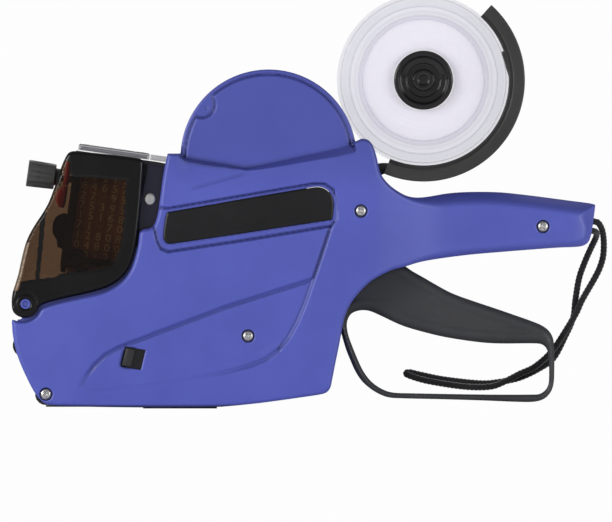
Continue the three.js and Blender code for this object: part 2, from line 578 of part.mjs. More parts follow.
// tall bands side by side, each a loop over the key wheel and the bridge
function typeBands(y) {
  const loop = (half, bottom) => [
    ...arc([y, KNOB_Z], half, 0, 180, 6),
    [y - half, bottom + 1.2], [y - half + 1.2, bottom],
    [y + half - 1.2, bottom], [y + half, bottom + 1.2],
  ];
  const loopRing = (outer, inner, x0, x1) =>
    prismX(outer, x0, x1).subtract(prismX(inner, x0 - 1, x1 + 1));
  let bands = loopRing(loop(5.2, PRINT_FACE_Z), loop(3.9, PRINT_FACE_Z + 1.4),
    BANDS.front, BANDS_BACK);
  for (let i = 1; i < BANDS.count; i++) {
    const x = BANDS.front + i * BANDS.pitch;
    const groove = loopRing(loop(7, 30), loop(4.7, PRINT_FACE_Z + 0.5),
      x - BANDS.groove / 2, x + BANDS.groove / 2);
    bands = bands.subtract(groove);
  }
  return bands;
}
const typeBridge = (y) =>
  box(BANDS.front - 0.3, BANDS_BACK + 0.3, y - 2.5, y + 2.5, PRINT_FACE_Z + 1.7, 43.0);
// shaft with its eight-sided key wheel
const selectorShaft = (y) => union(
  cylX([y, KNOB_Z], SELECTOR_RADIUS, -62, -17.6, 14),
  cylX([y, KNOB_Z], 3.3, -21.8, -18.4, 8),
);
const pointer = (y) => box(-49.6, -47.2, y - 3.0, y + 3.0, KNOB_Z - 3, 87.6)
  .subtract(cylX([y, KNOB_Z], 1.7, -60, 0, 20));
function knob(y) {
  const centre = [y, KNOB_Z];
  const flutes = [];
  for (let i = 0; i < 24; i++) {
    flutes.push(polar(centre, i % 2 ? KNOB_RADIUS : KNOB_RADIUS - 0.45, i * 15));
  }
  return prismX(flutes, -64.9, -53.2)
    .add(cylX(centre, 3.6, -53.3, -50.6, 24))
    .subtract(cylX(centre, SELECTOR_RADIUS + 0.02, -62.2, -40, 20));
}
// two links with pivot stubs, joined by the roller's spindle
function inkArm() {
  const side = [
    offset(INK_PIVOT, -2.4, 1.2), offset(INK_PIVOT, -1.0, 2.4), offset(INK_PIVOT, 1.6, 2.0),
    offset(INK_ROLLER, 2.4, 1.2), offset(INK_ROLLER, 2.0, -2.0), offset(INK_ROLLER, -1.8, -2.2),
  ];
  const link = plateY(side, 12.9, 13.7).add(cylY(INK_PIVOT, 1.0, 13.2, 15.8, 16));
  return bothSides(link).add(rodY(INK_ROLLER, 0.9, 13.2, 16));
}
function addHead(arm) {
  add(arm, 'print_arm', printArm(), GREY);
  add(arm, 'head_housing', headHousing(), BLACK);
  add(arm, 'head_window', headWindow(), CLEAR);
  for (const [name, side] of SIDES) {
    add(arm, `head_side_plate_${name}`, onSide(side, headSidePlate()), NAVY);
    add(arm, `rivet_${name}`, onSide(side, rivet()), STEEL);
  }
  for (const [name, y] of [['near', -KNOB_Y], ['far', KNOB_Y]]) {
    add(arm, `type_bands_${name}`, typeBands(y), YELLOW);
    add(arm, `type_bridge_${name}`, typeBridge(y), GREY);
    add(arm, `selector_shaft_${name}`, selectorShaft(y), STEEL);
    add(arm, `pointer_${name}`, pointer(y), RED);
    add(arm, `knob_${name}`, knob(y), GREY);
  }
  add(arm, 'ink_arm', inkArm(), BLACK);
  add(arm, 'ink_roller_core', ring(INK_ROLLER, 1.0, 1.9, -12.5, 12.5, 20), WHITE);
  add(arm, 'ink_roller', ring(INK_ROLLER, 2.0, INK_ROLLER_RADIUS, -12.3, 12.3, 24), FELT);
}

// --------------------------------------------------- roll holder, swung open
const ROLL_HALF = 8.0;

function holderArc() {
  const pie = (rimPoints) => plateY([ROLL_CENTRE, ...rimPoints], -REACH, REACH);
  // cross-section as [radius, y]: outer wall, edge flanges and two inner ribs
  const profile = [
    [37.6, -19], [42.6, -19], [42.6, 19], [37.6, 19], [37.6, 17.2], [40.9, 17.2],
    [40.9, 12.4], [35.8, 12.4], [35.8, 10.2], [40.9, 10.2], [40.9, -10.2], [35.8, -10.2],
    [35.8, -12.4], [40.9, -12.4], [40.9, -17.2], [37.6, -17.2],
  ];
  const lug = [
    offset(HOLDER_HINGE, -3.0, 1.2), offset(HOLDER_HINGE, 0.5, 3.3),
    polar(ROLL_CENTRE, 37.8, -112.6), polar(ROLL_CENTRE, 39, -104),
    polar(ROLL_CENTRE, 42.4, -106), polar(ROLL_CENTRE, 42.5, -112.6),
    offset(HOLDER_HINGE, 1.0, -3.2), offset(HOLDER_HINGE, -2.6, -2.0),
  ];
  const stepRim = [-5, 7, 20].map((angle) => polar(ROLL_CENTRE, 60, angle));
  return union(
    latheY(ROLL_CENTRE, profile, 44).intersect(pie(arc(ROLL_CENTRE, 60, -113, 48, 12))),
    // ribs stand further in over this short stretch
    bothSides(ring(ROLL_CENTRE, 33.6, 38, 10.2, 12.4, 44)).intersect(pie(stepRim)),
    plateY(lug, -12.4, 12.4),
    rodY(HOLDER_HINGE, 3.3, 12.4, 24),
  ).subtract(rodY(HOLDER_HINGE, AXLE_BORE, REACH, 20));
}
function holderDisc() {
  const profile = [[11.3, 8.5], [36.3, 8.5], [36.3, 9.9], [34.9, 9.9], [34.6, 9.5], [11.3, 9.5]];
  return latheY(ROLL_CENTRE, profile, 44);
}
function hub() {
  return latheY(ROLL_CENTRE, [
    [0, 0.4], [11.0, 0.4], [11.0, 10.1], [12.4, 10.1], [12.4, 11.2],
    [11.9, 11.7], [10.0, 11.7], [9.4, 6.0], [0, 6.0],
  ], 28);
}

// ------------------------------------------------------------------- assembly
const gun = new THREE.Group();

const half = shellHalf();
add(gun, 'left_shell', nearShell(half), BLUE);
add(gun, 'right_shell', farShell(half), BLUE);
for (const [name, side] of SIDES) {
  add(gun, `badge_${name}`, onSide(side, plateY(BADGE_SIDE, 22.1, 22.9)), BLACK);
}
for (const entry of SCREWS) add(gun, entry.name, screw(entry), STEEL);

add(gun, 'trigger_pin', rodY(TRIGGER_PIVOT, TRIGGER_PIN_RADIUS, PIN_HALF, 14), STEEL);
add(gun, 'feed_axle', rodY(FEED_AXLE, AXLE_RADIUS, PIN_HALF, 14), STEEL);
add(gun, 'holder_hinge_pin', rodY(HOLDER_HINGE, AXLE_RADIUS, PIN_HALF, 14), STEEL);
add(gun, 'applicator_axle', rodY(APPLICATOR_AXLE, AXLE_RADIUS, 20.0, 16), STEEL);
add(gun, 'platen', platen(), GREY);
add(gun, 'peel_plate', peelPlate(), STEEL);
add(gun, 'trigger_spring', triggerSpring(), STEEL);
add(gun, 'wrist_strap', tube(STRAP_PATH, 1.45, 6, 56), CORD);

add(gun, 'trigger', trigger(), GREY);
add(gun, 'drive_pin', rodY(DRIVE_PIN, 1.9, 16.6, 14), STEEL);
add(gun, 'feed_gear', feedGear(), WHITE);
add(gun, 'feed_wheel', feedWheel(), WHITE);
add(gun, 'applicator_roller', ring(APPLICATOR_AXLE, 1.62, 5.0, -16.8, 16.8, 24), RUBBER);

add(gun, 'bottom_cover', bottomCover(), BLACK);
add(gun, 'pressure_axle', rodY(PRESSURE_AXLE, 1.25, 11.2, 16), STEEL);
add(gun, 'pressure_roller', ring(PRESSURE_AXLE, 1.4, 3.8, -8.4, 8.4, 24), RUBBER);
add(gun, 'latch_slide', latchSlide(), GREY);
add(gun, 'front_cover', frontCover(), SMOKE);

// the outer group turns about the arm pivot; the inner one restores the gun's frame
const armTurn = new THREE.Group();
armTurn.position.set(ARM_PIVOT[0], 0, ARM_PIVOT[1]);
armTurn.rotation.y = degToRad(ARM_TILT);
gun.add(armTurn);
const levelArm = new THREE.Group();
levelArm.position.set(-ARM_PIVOT[0], 0, -ARM_PIVOT[1]);
armTurn.add(levelArm);
addHead(levelArm);

add(gun, 'holder_arc', holderArc(), GREY);
for (const [name, side] of SIDES) {
  add(gun, `holder_disc_${name}`, onSide(side, holderDisc()), CLEAR);
  add(gun, `hub_${name}`, onSide(side, hub()), BLACK);
}
add(gun, 'roll_core', ring(ROLL_CENTRE, 11.4, 12.4, -ROLL_HALF, ROLL_HALF, 28), CARD);
add(gun, 'label_roll', ring(ROLL_CENTRE, 12.8, 25.6, -ROLL_HALF, ROLL_HALF, 40), WHITE);

export default gun;
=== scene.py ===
"""Hand-held price labeling gun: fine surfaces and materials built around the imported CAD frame.

Lengths are millimetres in the part's own frame: +X from the nose to the handle end, +Z up,
-Y the near (left) side and +Y the far (right) side. They become metres when a mesh is made.
Near-side plates are built at -Y and mirrored for the far side.
"""

import math

import bpy
import bmesh
import numpy as np
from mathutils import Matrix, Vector


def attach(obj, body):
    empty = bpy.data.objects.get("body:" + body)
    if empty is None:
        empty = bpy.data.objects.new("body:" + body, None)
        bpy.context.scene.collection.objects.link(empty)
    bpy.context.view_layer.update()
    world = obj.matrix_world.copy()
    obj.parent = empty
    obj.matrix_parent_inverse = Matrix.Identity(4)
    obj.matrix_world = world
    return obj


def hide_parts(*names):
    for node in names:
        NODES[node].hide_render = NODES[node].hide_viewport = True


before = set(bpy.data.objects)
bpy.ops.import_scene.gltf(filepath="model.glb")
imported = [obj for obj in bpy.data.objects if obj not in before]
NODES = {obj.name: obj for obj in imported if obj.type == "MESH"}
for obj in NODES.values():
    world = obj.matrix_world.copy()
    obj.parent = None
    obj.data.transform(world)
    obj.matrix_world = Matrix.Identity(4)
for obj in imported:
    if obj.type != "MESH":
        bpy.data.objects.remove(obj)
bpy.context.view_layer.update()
MM = 0.001

# ------------------------------------------------------------------ dimensions
# Places are (x, z).
TRIGGER_PIVOT = (56.7, 63.2)
ARM_PIVOT = (76.0, 82.95)
ARM_TILT = math.radians(8.0)
HOLDER_HINGE = (81.06, 99.12)
ROLL_CENTER = (102.27, 137.89)
FEED_CENTER = (7.56, 25.83)
COVER_PIVOT = (-64.9, 43.9)
APPLICATOR = (-65.3, 26.5)
PRESSURE_ROLLER = (7.56, 6.95)
INK_ROLLER = (-30.0, 32.7)
DRIVE_PIN = (41.16, 65.73)
RIVET = (-12.4, 75.6)
NOSE_SCREW = (-56.3, 6.0)
MIDDLE_SCREW = (28.56, 30.45)
HANDLE_SCREW = (152.46, 76.44)
KNOB_Y = 7.0
KNOB_Z = 79.3

WALL = 2.0                 # shell thickness
DOME_CENTER = (37.2, 105.4)
DOME_RADIUS = 37.0
DOME_HALF = 19.0           # half width of the narrow round top of the shell
TRIGGER_BORE = 2.15
AXLE_BORE = 1.65
COVER_BORE = 2.4
SCREW_WELL = 2.8           # radius of the screw holes in the near shell
GEAR_MODULE = 2.058
SHELL_STEP = 0.45
FINE_ROWS = (99.4, 107.4, 3)   # z from, z to, how many times closer the grid rows are

NEAR_FAR = (("near", -1), ("far", 1))
LEFT_RIGHT = (("left", -1), ("right", 1))

# name, place, half width of the shell there, screw length
SCREWS = [
    ("top", ARM_PIVOT, 23.0, 33.0),
    ("middle", MIDDLE_SCREW, 22.2, 32.0),
    ("handle", HANDLE_SCREW, 14.0, 16.0),
    ("nose", NOSE_SCREW, 21.86, 32.0),
]
# place, bore, radius, and the span in y
BOSSES = [
    (ARM_PIVOT, 1.6, 3.0, 0.15, 21.2),
    (MIDDLE_SCREW, 1.6, 3.0, 0.15, 20.4),
    (HANDLE_SCREW, 1.6, 3.2, 0.15, 12.2),
    (NOSE_SCREW, 1.6, 2.7, 0.15, 20.0),
    (TRIGGER_PIVOT, TRIGGER_BORE, 4.6, 17.2, 21.2),
    (FEED_CENTER, AXLE_BORE, 4.0, 17.2, 21.2),
    (HOLDER_HINGE, AXLE_BORE, 2.8, 19.6, 21.2),
    (APPLICATOR, AXLE_BORE, 3.0, 18.4, 20.3),
]

# -------------------------------------------------------------------- outlines
# Side-view outlines, as (x, z) points.
BODY = [
    (-5.2, 107.1), (-0.8, 107.1), (2.5, 105.2), (14.7, 103.3), (27.7, 101.0), (39.9, 103.7),
    (52.5, 106.7), (65.1, 109.6), (73.1, 111.9), (76.0, 113.3), (78.5, 113.1), (80.4, 111.5),
    (81.7, 108.6), (82.7, 105.2), (83.4, 101.8), (84.2, 98.9), (85.9, 96.2), (88.2, 93.7),
    (91.6, 91.2), (95.3, 89.3), (99.5, 88.6), (105.0, 89.1), (111.3, 90.2), (117.6, 90.8),
    (126.0, 91.0), (134.4, 90.8), (142.8, 90.0), (153.3, 88.7), (163.8, 87.3), (172.2, 86.2),
    (174.5, 85.6), (174.0, 81.7), (173.2, 75.8), (172.3, 71.6), (171.1, 69.4), (168.4, 68.1),
    (159.6, 67.6), (147.0, 66.7), (134.4, 65.7), (121.8, 64.6), (109.2, 63.0), (100.8, 61.5),
    (94.5, 59.6), (89.5, 58.3), (84.8, 56.2), (80.6, 53.7), (77.1, 50.7), (73.9, 47.1),
    (71.4, 43.5), (69.6, 39.7), (68.5, 35.9), (67.7, 31.3), (66.6, 25.4), (65.2, 18.7),
    (63.9, 12.0), (63.1, 8.6), (61.5, 6.7), (58.4, 5.8), (50.4, 4.6), (42.0, 3.4), (33.6, 2.3),
    (25.2, 1.4), (16.8, 0.7), (8.4, 0.5), (-8.4, 0.4), (-25.2, 0.5), (-37.8, 0.7), (-50.4, 1.1),
    (-54.6, 1.5), (-57.3, 2.5), (-59.8, 5.0), (-62.2, 8.6), (-64.3, 12.8), (-66.6, 17.8),
    (-68.5, 22.9), (-69.7, 27.9), (-70.4, 32.5), (-70.6, 37.4), (-66.4, 36.5), (-62.6, 37.4),
    (-59.8, 39.5), (-58.2, 42.0), (-52.1, 44.3), (-42.0, 46.6), (-32.3, 48.9), (-27.3, 51.3),
    (-23.3, 54.6), (-20.5, 58.8), (-18.7, 64.0), (-17.5, 69.5), (-16.8, 74.3), (-15.3, 75.3),
    (-12.6, 75.7), (-10.9, 77.2), (-9.8, 80.0), (-8.9, 84.2), (-8.1, 90.1), (-7.3, 96.4),
    (-6.3, 102.3),
]
TOP_EDGE = BODY[1:12]      # foot of the dome, where the shell steps out to full width
COVER_GAP = BODY[-17:-10]  # edge facing the front cover
# parts of the body edge that are walled shut
CLOSED_EDGES = [
    [(91.6, 91.2), (95.3, 89.3), (99.5, 88.6), (117.6, 90.8), (134.4, 90.8), (153.3, 88.7),
     (174.5, 85.6), (174.0, 81.7)],
    [(172.3, 71.6), (171.1, 69.4), (168.4, 68.1), (159.6, 67.6), (150.5, 67.0)],
    [(67.7, 31.3), (66.6, 25.4), (63.9, 12.0), (63.1, 8.6), (61.5, 6.7), (58.4, 5.8),
     (42.0, 3.4), (33.6, 2.3)],
    [(-63.0, 10.2), (-64.3, 12.8), (-66.6, 17.8)],
]
# part of the body edge with a lip, open in the middle for the trigger
LIPPED_EDGE = [
    (150.5, 67.0), (121.8, 64.6), (100.8, 61.5), (94.5, 59.6), (84.8, 56.2), (77.1, 50.7),
    (71.4, 43.5), (67.7, 31.3),
]
COVER = [
    (-44.7, 108.1), (-39.9, 107.8), (-17.2, 105.1), (-15.5, 103.7), (-15.3, 101.0),
    (-15.8, 93.9), (-16.5, 85.5), (-17.2, 78.3), (-18.1, 70.8), (-19.3, 64.9), (-21.1, 59.8),
    (-23.9, 55.6), (-27.9, 52.4), (-33.0, 50.1), (-42.4, 47.7), (-52.5, 45.4), (-58.6, 43.3),
    (-60.1, 40.9), (-61.9, 39.1), (-64.9, 38.1), (-68.0, 38.8), (-70.1, 40.7), (-70.7, 43.9),
    (-70.4, 48.1), (-69.1, 52.5), (-67.9, 56.5), (-67.0, 60.7), (-65.9, 65.5), (-64.7, 69.7),
    (-62.8, 73.9), (-60.3, 78.1), (-57.5, 82.3), (-55.2, 86.5), (-53.3, 91.3), (-51.4, 96.8),
    (-49.6, 102.1), (-47.9, 105.8), (-46.6, 107.5),
]
COVER_FRONT_CLOSED = COVER[23:29]
COVER_FRONT_OPEN = COVER[28:]
# see-through panel inside the opaque frame of the cover
PANEL = [
    (-50.2, 98.6), (-48.4, 103.6), (-47.4, 104.6), (-46.6, 103.6), (-46.3, 99.0), (-45.2, 97.4),
    (-39.6, 97.2), (-22.6, 95.8), (-23.2, 85.0), (-24.6, 70.0), (-26.4, 63.6), (-29.5, 59.6),
    (-35.0, 58.0), (-44.0, 57.2), (-50.0, 56.6), (-52.6, 55.2), (-60.0, 54.4), (-67.4, 53.2),
    (-68.3, 54.6), (-67.2, 60.4), (-65.0, 69.0), (-62.2, 74.6), (-57.2, 82.4), (-53.6, 89.0),
]
PANEL_RIB = [(-57.4, 84.0), (-57.9, 76.0), (-58.8, 66.0), (-60.0, 54.0)]
TRIGGER = [
    (94.1, 60.1), (97.4, 57.8), (102.5, 54.9), (107.5, 52.0), (112.6, 49.2), (116.8, 47.4),
    (123.9, 44.9), (132.3, 42.1), (140.7, 39.2), (148.3, 36.5), (152.5, 34.6), (155.2, 32.3),
    (156.7, 29.4), (157.2, 24.6), (157.2, 15.3), (156.9, 10.3), (155.7, 6.9), (153.3, 4.3),
    (149.9, 3.0), (144.9, 2.7), (126.0, 3.4), (109.2, 3.9), (92.4, 4.3), (87.4, 4.7),
    (83.2, 6.3), (79.6, 8.6), (76.4, 11.5), (73.7, 15.5), (71.7, 19.9), (69.8, 24.6),
    (68.5, 28.8), (67.2, 33.0), (64.7, 38.0), (60.5, 46.4), (55.9, 53.1), (52.0, 57.3),
    (40.2, 62.9), (38.3, 65.6), (39.6, 68.3), (51.5, 67.6), (57.1, 69.6), (66.0, 69.4),
    (75.5, 67.6), (86.0, 64.4),
]
TRIGGER_OPENING = [
    (71.2, 38.9), (72.9, 40.4), (75.6, 41.2), (79.0, 41.1), (82.3, 39.9), (92.4, 35.2),
    (98.7, 33.1), (111.3, 30.0), (126.0, 27.8), (134.4, 27.3), (149.9, 27.3), (152.5, 26.7),
    (154.1, 24.8), (154.8, 21.6), (155.0, 13.2), (154.6, 9.7), (153.0, 7.3), (149.9, 5.9),
    (92.4, 6.5), (87.6, 7.1), (83.6, 8.9), (80.2, 11.5), (77.5, 14.9), (75.3, 19.1),
    (71.7, 27.9), (70.4, 32.1), (70.1, 35.9),
]
BADGE = [
    (-5.2, 82.3), (56.3, 92.9), (59.4, 92.8), (62.2, 91.3), (63.8, 88.8), (64.4, 85.9),
    (63.8, 79.4), (-3.8, 69.3), (-5.9, 69.7), (-6.8, 71.4), (-5.9, 80.0),
]
# wide ledge round the badge
LEDGE = [
    (-14.0, 85.0), (-11.4, 76.0), (-10.0, 70.0), (-8.4, 66.8), (-5.0, 65.4), (30.0, 70.7),
    (63.4, 76.2), (66.2, 79.0), (66.4, 87.0), (64.8, 92.2), (61.0, 94.8), (56.0, 94.9),
    (-4.5, 84.6),
]
# leaf-shaped recess in the side of the shell
LEAF_TOP = [
    (-43.3, 7.4), (-41.2, 11.4), (-35.7, 18.7), (-31.5, 22.5), (-26.0, 25.6), (18.9, 42.6),
    (55.9, 54.4),
]
LEAF_RIGHT = [
    (63.4, 77.0), (60.0, 66.5), (55.9, 54.4), (52.5, 44.3), (49.1, 36.3), (45.4, 29.6),
    (41.2, 24.6),
]
LEAF_LOWER = [
    (-43.3, 8.6), (-42.0, 6.9), (-12.6, 9.9), (4.2, 12.4), (18.9, 15.3), (29.4, 18.1),
    (36.1, 20.8), (41.2, 24.6),
]
LEAF = LEAF_TOP[:1:-1] + LEAF_LOWER + LEAF_RIGHT[5:2:-1]
LATCH_SLOT = [(-25.0, 17.6), (-16.4, 16.2), (-14.4, 24.6), (-23.0, 26.0)]
# x, half width of the shell
WIDTH = [
    (-80, 21.2), (-60, 21.6), (-40, 23), (82, 23), (97, 19.2), (110, 15.5), (124, 14.0),
    (166, 14.0), (175, 11.0), (182, 6.0),
]
# x, y, z along the wrist cord
CORD = [
    (170.6, 1.8, 79.0), (173.6, 2.2, 78.6), (175.8, 3.6, 77.8), (177.4, 6.2, 74.6),
    (178.0, 9.2, 69.5), (177.7, 11.4, 64.0), (176.4, 12.2, 59.4), (174.3, 12.4, 55.0),
    (168.9, 12.4, 45.6), (166.6, 12.4, 40.5), (162.6, 12.4, 33.6), (156.2, 12.4, 24.0),
    (149.1, 12.4, 17.6), (142.8, 12.3, 14.6), (136.5, 12.1, 11.4), (130.2, 12.0, 9.2),
    (119.7, 12.0, 9.2), (105.0, 12.0, 11.4), (97.6, 12.0, 13.4), (94.9, 12.9, 14.7),
    (96.6, 14.2, 15.2), (101.0, 15.0, 14.2), (111.0, 15.4, 12.2), (126.0, 15.6, 10.6),
    (134.4, 15.6, 11.2), (142.8, 15.6, 13.0), (151.2, 15.7, 17.0), (157.0, 15.7, 21.4),
    (161.7, 15.7, 30.2), (165.1, 15.6, 38.0), (166.1, 15.4, 45.8), (167.6, 15.0, 54.6),
    (169.8, 14.0, 61.0), (172.4, 11.4, 67.0), (174.6, 7.6, 71.6), (174.9, 3.6, 73.8),
    (173.4, 0.2, 74.6), (170.4, -1.6, 74.8),
]


# -------------------------------------------------------------- plane geometry
def smooth(points, sharp=50.0, step=1.0, closed=True):
    """A curve through the points, kept sharp where it turns by more than sharp degrees."""
    points = np.asarray(points, float)
    count = len(points)
    ahead = np.roll(points, -1, 0) - points
    length = np.linalg.norm(ahead, axis=1)
    behind = np.roll(ahead, 1, 0)
    cross = behind[:, 0] * ahead[:, 1] - behind[:, 1] * ahead[:, 0]
    corner = np.abs(np.arctan2(cross, (behind * ahead).sum(1))) > math.radians(sharp)
    if not closed:
        corner[0] = corner[-1] = True
    tangent = behind + ahead
    tangent /= np.maximum(np.linalg.norm(tangent, axis=1), 1e-9)[:, None]
    out = []
    for i in range(count if closed else count - 1):
        j = (i + 1) % count
        chord = ahead[i] / length[i]
        start = (chord if corner[i] else tangent[i]) * length[i]
        end = (chord if corner[j] else tangent[j]) * length[i]
        pieces = max(1, int(length[i] / step))
        for u in np.arange(pieces) / pieces:
            out.append((2 * u**3 - 3 * u**2 + 1) * points[i] + (u**3 - 2 * u**2 + u) * start
                       + (3 * u**2 - 2 * u**3) * points[j] + (u**3 - u**2) * end)
    if not closed:
        out.append(points[-1])
    return np.array(out)


def away(center, x, z):
    return np.hypot(x - center[0], z - center[1])


def polar(center, radius, degrees):
    angle = math.radians(degrees)
    return (center[0] + radius * math.cos(angle), center[1] + radius * math.sin(angle))


def arc(center, radius, angles):
    return [polar(center, radius, degrees) for degrees in angles]


def circle(center, radius, count):
    return arc(center, radius, np.arange(count) * 360 / count)


def line_distance(points, x, z, closed=False):
    points = np.asarray(points, float)
    best = np.full(x.shape, 1e12)
    for i in range(len(points) if closed else len(points) - 1):
        start_x, start_z = points[i]
        run_x, run_z = points[(i + 1) % len(points)] - points[i]
        dx, dz = x - start_x, z - start_z
        t = np.clip((dx * run_x + dz * run_z) / (run_x * run_x + run_z * run_z + 1e-12), 0, 1)
        np.minimum(best, (dx - run_x * t) ** 2 + (dz - run_z * t) ** 2, out=best)
    return np.sqrt(best)


def inside(points, x, z):
    points = np.asarray(points, float)
    result = np.zeros(x.shape, bool)
    for i in range(len(points)):
        (x0, z0), (x1, z1) = points[i], points[(i + 1) % len(points)]
        if z0 == z1:
            continue
        spans = ((z0 <= z) & (z1 > z)) | ((z1 <= z) & (z0 > z))
        result ^= spans & (x < x0 + (z - z0) / (z1 - z0) * (x1 - x0))
    return result


def field(points, x, z):
    """Distance to the closed outline, positive inside."""
    distance = line_distance(points, x, z, True)
    return np.where(inside(points, x, z), distance, -distance)


def gradient(region, x, z, reach):
    """Central differences of region along x and z, and their length."""
    along_x = region(x + reach, z) - region(x - reach, z)
    along_z = region(x, z + reach) - region(x, z - reach)
    return along_x, along_z, np.hypot(along_x, along_z)


def ease(t):
    t = np.clip(t, 0, 1)
    return t * t * (3 - 2 * t)


def soft_edge(distance, depth, reach):
    """How far a rounded edge falls: depth at the edge, nothing at reach."""
    return depth * np.clip(1 - distance / reach, 0, 1) ** 2


def groove(distance, depth, reach):
    return depth * np.exp(-(distance / reach) ** 2)


def numbered(mask, start):
    ids = np.full(mask.shape, -1)
    ids[mask] = start + np.arange(mask.sum())
    return ids


def crossing(first, second, mask):
    """Where the value passes zero between two grid points, as a fraction."""
    fraction = first / (first - second + (first == second))
    return np.clip(fraction[mask], 0.05, 0.95)


def contour(region, box, step, fine=None):
    """Grid faces of the area where region is positive, box being (x0, x1, z0, z1).

    Returns points (n, 2), faces, and the directed boundary edges.
    fine = (from, to, factor) makes the grid rows closer over that height.
    """
    x0, x1, z0, z1 = box
    columns = x0 + step * np.arange(int((x1 - x0) / step) + 2)
    rows = z0 + step * np.arange(int((z1 - z0) / step) + 2)
    if fine:
        low, high, factor = fine
        rows = np.concatenate([rows[rows < low - 0.05], np.arange(low, high, step / factor),
                               rows[rows > high + 0.05]])
    X, Z = np.meshgrid(columns, rows, indexing="ij")
    value = region(X, Z)
    value = np.where(np.abs(value) < 1e-7, 1e-7, value)
    within = value > 0

    # points: grid points inside, then crossings along x, then crossings along z
    grid_id = numbered(within, 0)
    cut_x = within[:-1, :] != within[1:, :]
    cut_z = within[:, :-1] != within[:, 1:]
    x_id = numbered(cut_x, int(within.sum()))
    z_id = numbered(cut_z, int(within.sum() + cut_x.sum()))
    tx = crossing(value[:-1], value[1:], cut_x)
    tz = crossing(value[:, :-1], value[:, 1:], cut_z)
    points = np.concatenate([
        np.stack([X[within], Z[within]], 1),
        np.stack([X[:-1][cut_x] + step * tx, Z[:-1][cut_x]], 1),
        np.stack([X[:, :-1][cut_z], Z[:, :-1][cut_z] + (Z[:, 1:] - Z[:, :-1])[cut_z] * tz], 1),
    ])

    corners = within[:-1, :-1], within[1:, :-1], within[1:, 1:], within[:-1, 1:]
    full = np.logical_and.reduce(corners)
    I, J = np.nonzero(full)
    faces = np.stack([grid_id[I, J], grid_id[I + 1, J], grid_id[I + 1, J + 1],
                      grid_id[I, J + 1]], 1).tolist()
    edges = []
    I, J = np.nonzero(np.logical_or.reduce(corners) & ~full)
    for i, j in zip(I.tolist(), J.tolist()):
        corner = ((i, j), (i + 1, j), (i + 1, j + 1), (i, j + 1))
        cross = [int(c) for c in (x_id[i, j], z_id[i + 1, j], x_id[i, j + 1], z_id[i, j])]
        on = [bool(within[c]) for c in corner]
        if on[0] == on[2] and on[1] == on[3]:     # two opposite corners
            for k in range(4):
                if on[k]:
                    faces.append([int(grid_id[corner[k]]), cross[k], cross[k - 1]])
                    edges.append((cross[k], cross[k - 1]))
            continue
        polygon = []
        for k in range(4):
            if on[k]:
                polygon.append(int(grid_id[corner[k]]))
            if on[k] != on[(k + 1) % 4]:
                polygon.append(cross[k])
                if on[k]:
                    leave = cross[k]
                else:
                    enter = cross[k]
        faces.append(polygon)
        edges.append((leave, enter))
    return points, faces, edges


# ----------------------------------------------------------------- mesh shapes
# A part is (vertices, faces).
def join(parts):
    vertices, faces, count = [], [], 0
    for part_vertices, part_faces in parts:
        vertices.append(np.asarray(part_vertices, float))
        faces += [[i + count for i in face] for face in part_faces]
        count += len(part_vertices)
    return np.concatenate(vertices), faces


def mirror(part):
    vertices, faces = part
    return np.asarray(vertices, float) * [1, -1, 1], [list(reversed(face)) for face in faces]


def on_side(part, side, built=-1):
    """The part for the side wanted, built being the side it was made on."""
    return part if side == built else mirror(part)


def shift(part, y):
    vertices, faces = part
    return np.asarray(vertices) + [0, y, 0], faces


def tilt(part):
    """Moves arm-level points to where the arm rests."""
    vertices, faces = part
    vertices = np.asarray(vertices, float).copy()
    dx, dz = vertices[:, 0] - ARM_PIVOT[0], vertices[:, 2] - ARM_PIVOT[1]
    c, s = math.cos(ARM_TILT), math.sin(ARM_TILT)
    vertices[:, 0] = ARM_PIVOT[0] + dx * c + dz * s
    vertices[:, 2] = ARM_PIVOT[1] - dx * s + dz * c
    return vertices, faces


def layer(points, y):
    return np.stack([points[:, 0], np.broadcast_to(y, len(points)), points[:, 1]], 1)


def slab(points, faces, edges, half):
    """A solid plate between y = -half and y = +half."""
    count = len(points)
    near = layer(points, -half)
    out = [list(face) for face in faces]
    out += [[i + count for i in reversed(face)] for face in faces]
    out += [[q, p, count + p, count + q] for p, q in edges]
    return np.concatenate([near, near * [1, -1, 1]]), out


def skin(points, faces, edges, y_out, y_in, rim, inner=None):
    """A near-side plate with faces at -y_out and -y_in, whose edge wall reaches -rim.
    The inner face stands over the points inner."""
    count = len(points)
    inner = points if inner is None else inner
    rim = np.broadcast_to(rim, count)
    ids = sorted({i for edge in edges for i in edge})
    outer_rim = {i: 2 * count + k for k, i in enumerate(ids)}
    inner_rim = {i: 2 * count + len(ids) + k for k, i in enumerate(ids)}
    vertices = [layer(points, -y_out), layer(inner, -y_in),
                layer(points[ids], -rim[ids]), layer(inner[ids], -rim[ids])]
    out = [list(face) for face in faces]
    out += [[i + count for i in reversed(face)] for face in faces]
    for p, q in edges:
        out.append([q, p, outer_rim[p], outer_rim[q]])
        if not (rim[p] == 0 and rim[q] == 0):     # walls that meet the far half stay open
            out.append([outer_rim[q], outer_rim[p], inner_rim[p], inner_rim[q]])
        out.append([inner_rim[q], inner_rim[p], count + p, count + q])
    return np.concatenate(vertices), out


def sheet(outline, box, step, hole=None):
    """The contour of an outline less one (center, radius) hole, and the depth inside the outline."""
    def region(x, z):
        distance = field(outline, x, z)
        if hole:
            distance = np.minimum(distance, away(hole[0], x, z) - hole[1])
        return distance

    flat = contour(region, box, step)
    x, z = flat[0].T
    return flat, np.clip(field(outline, x, z), 0, None)


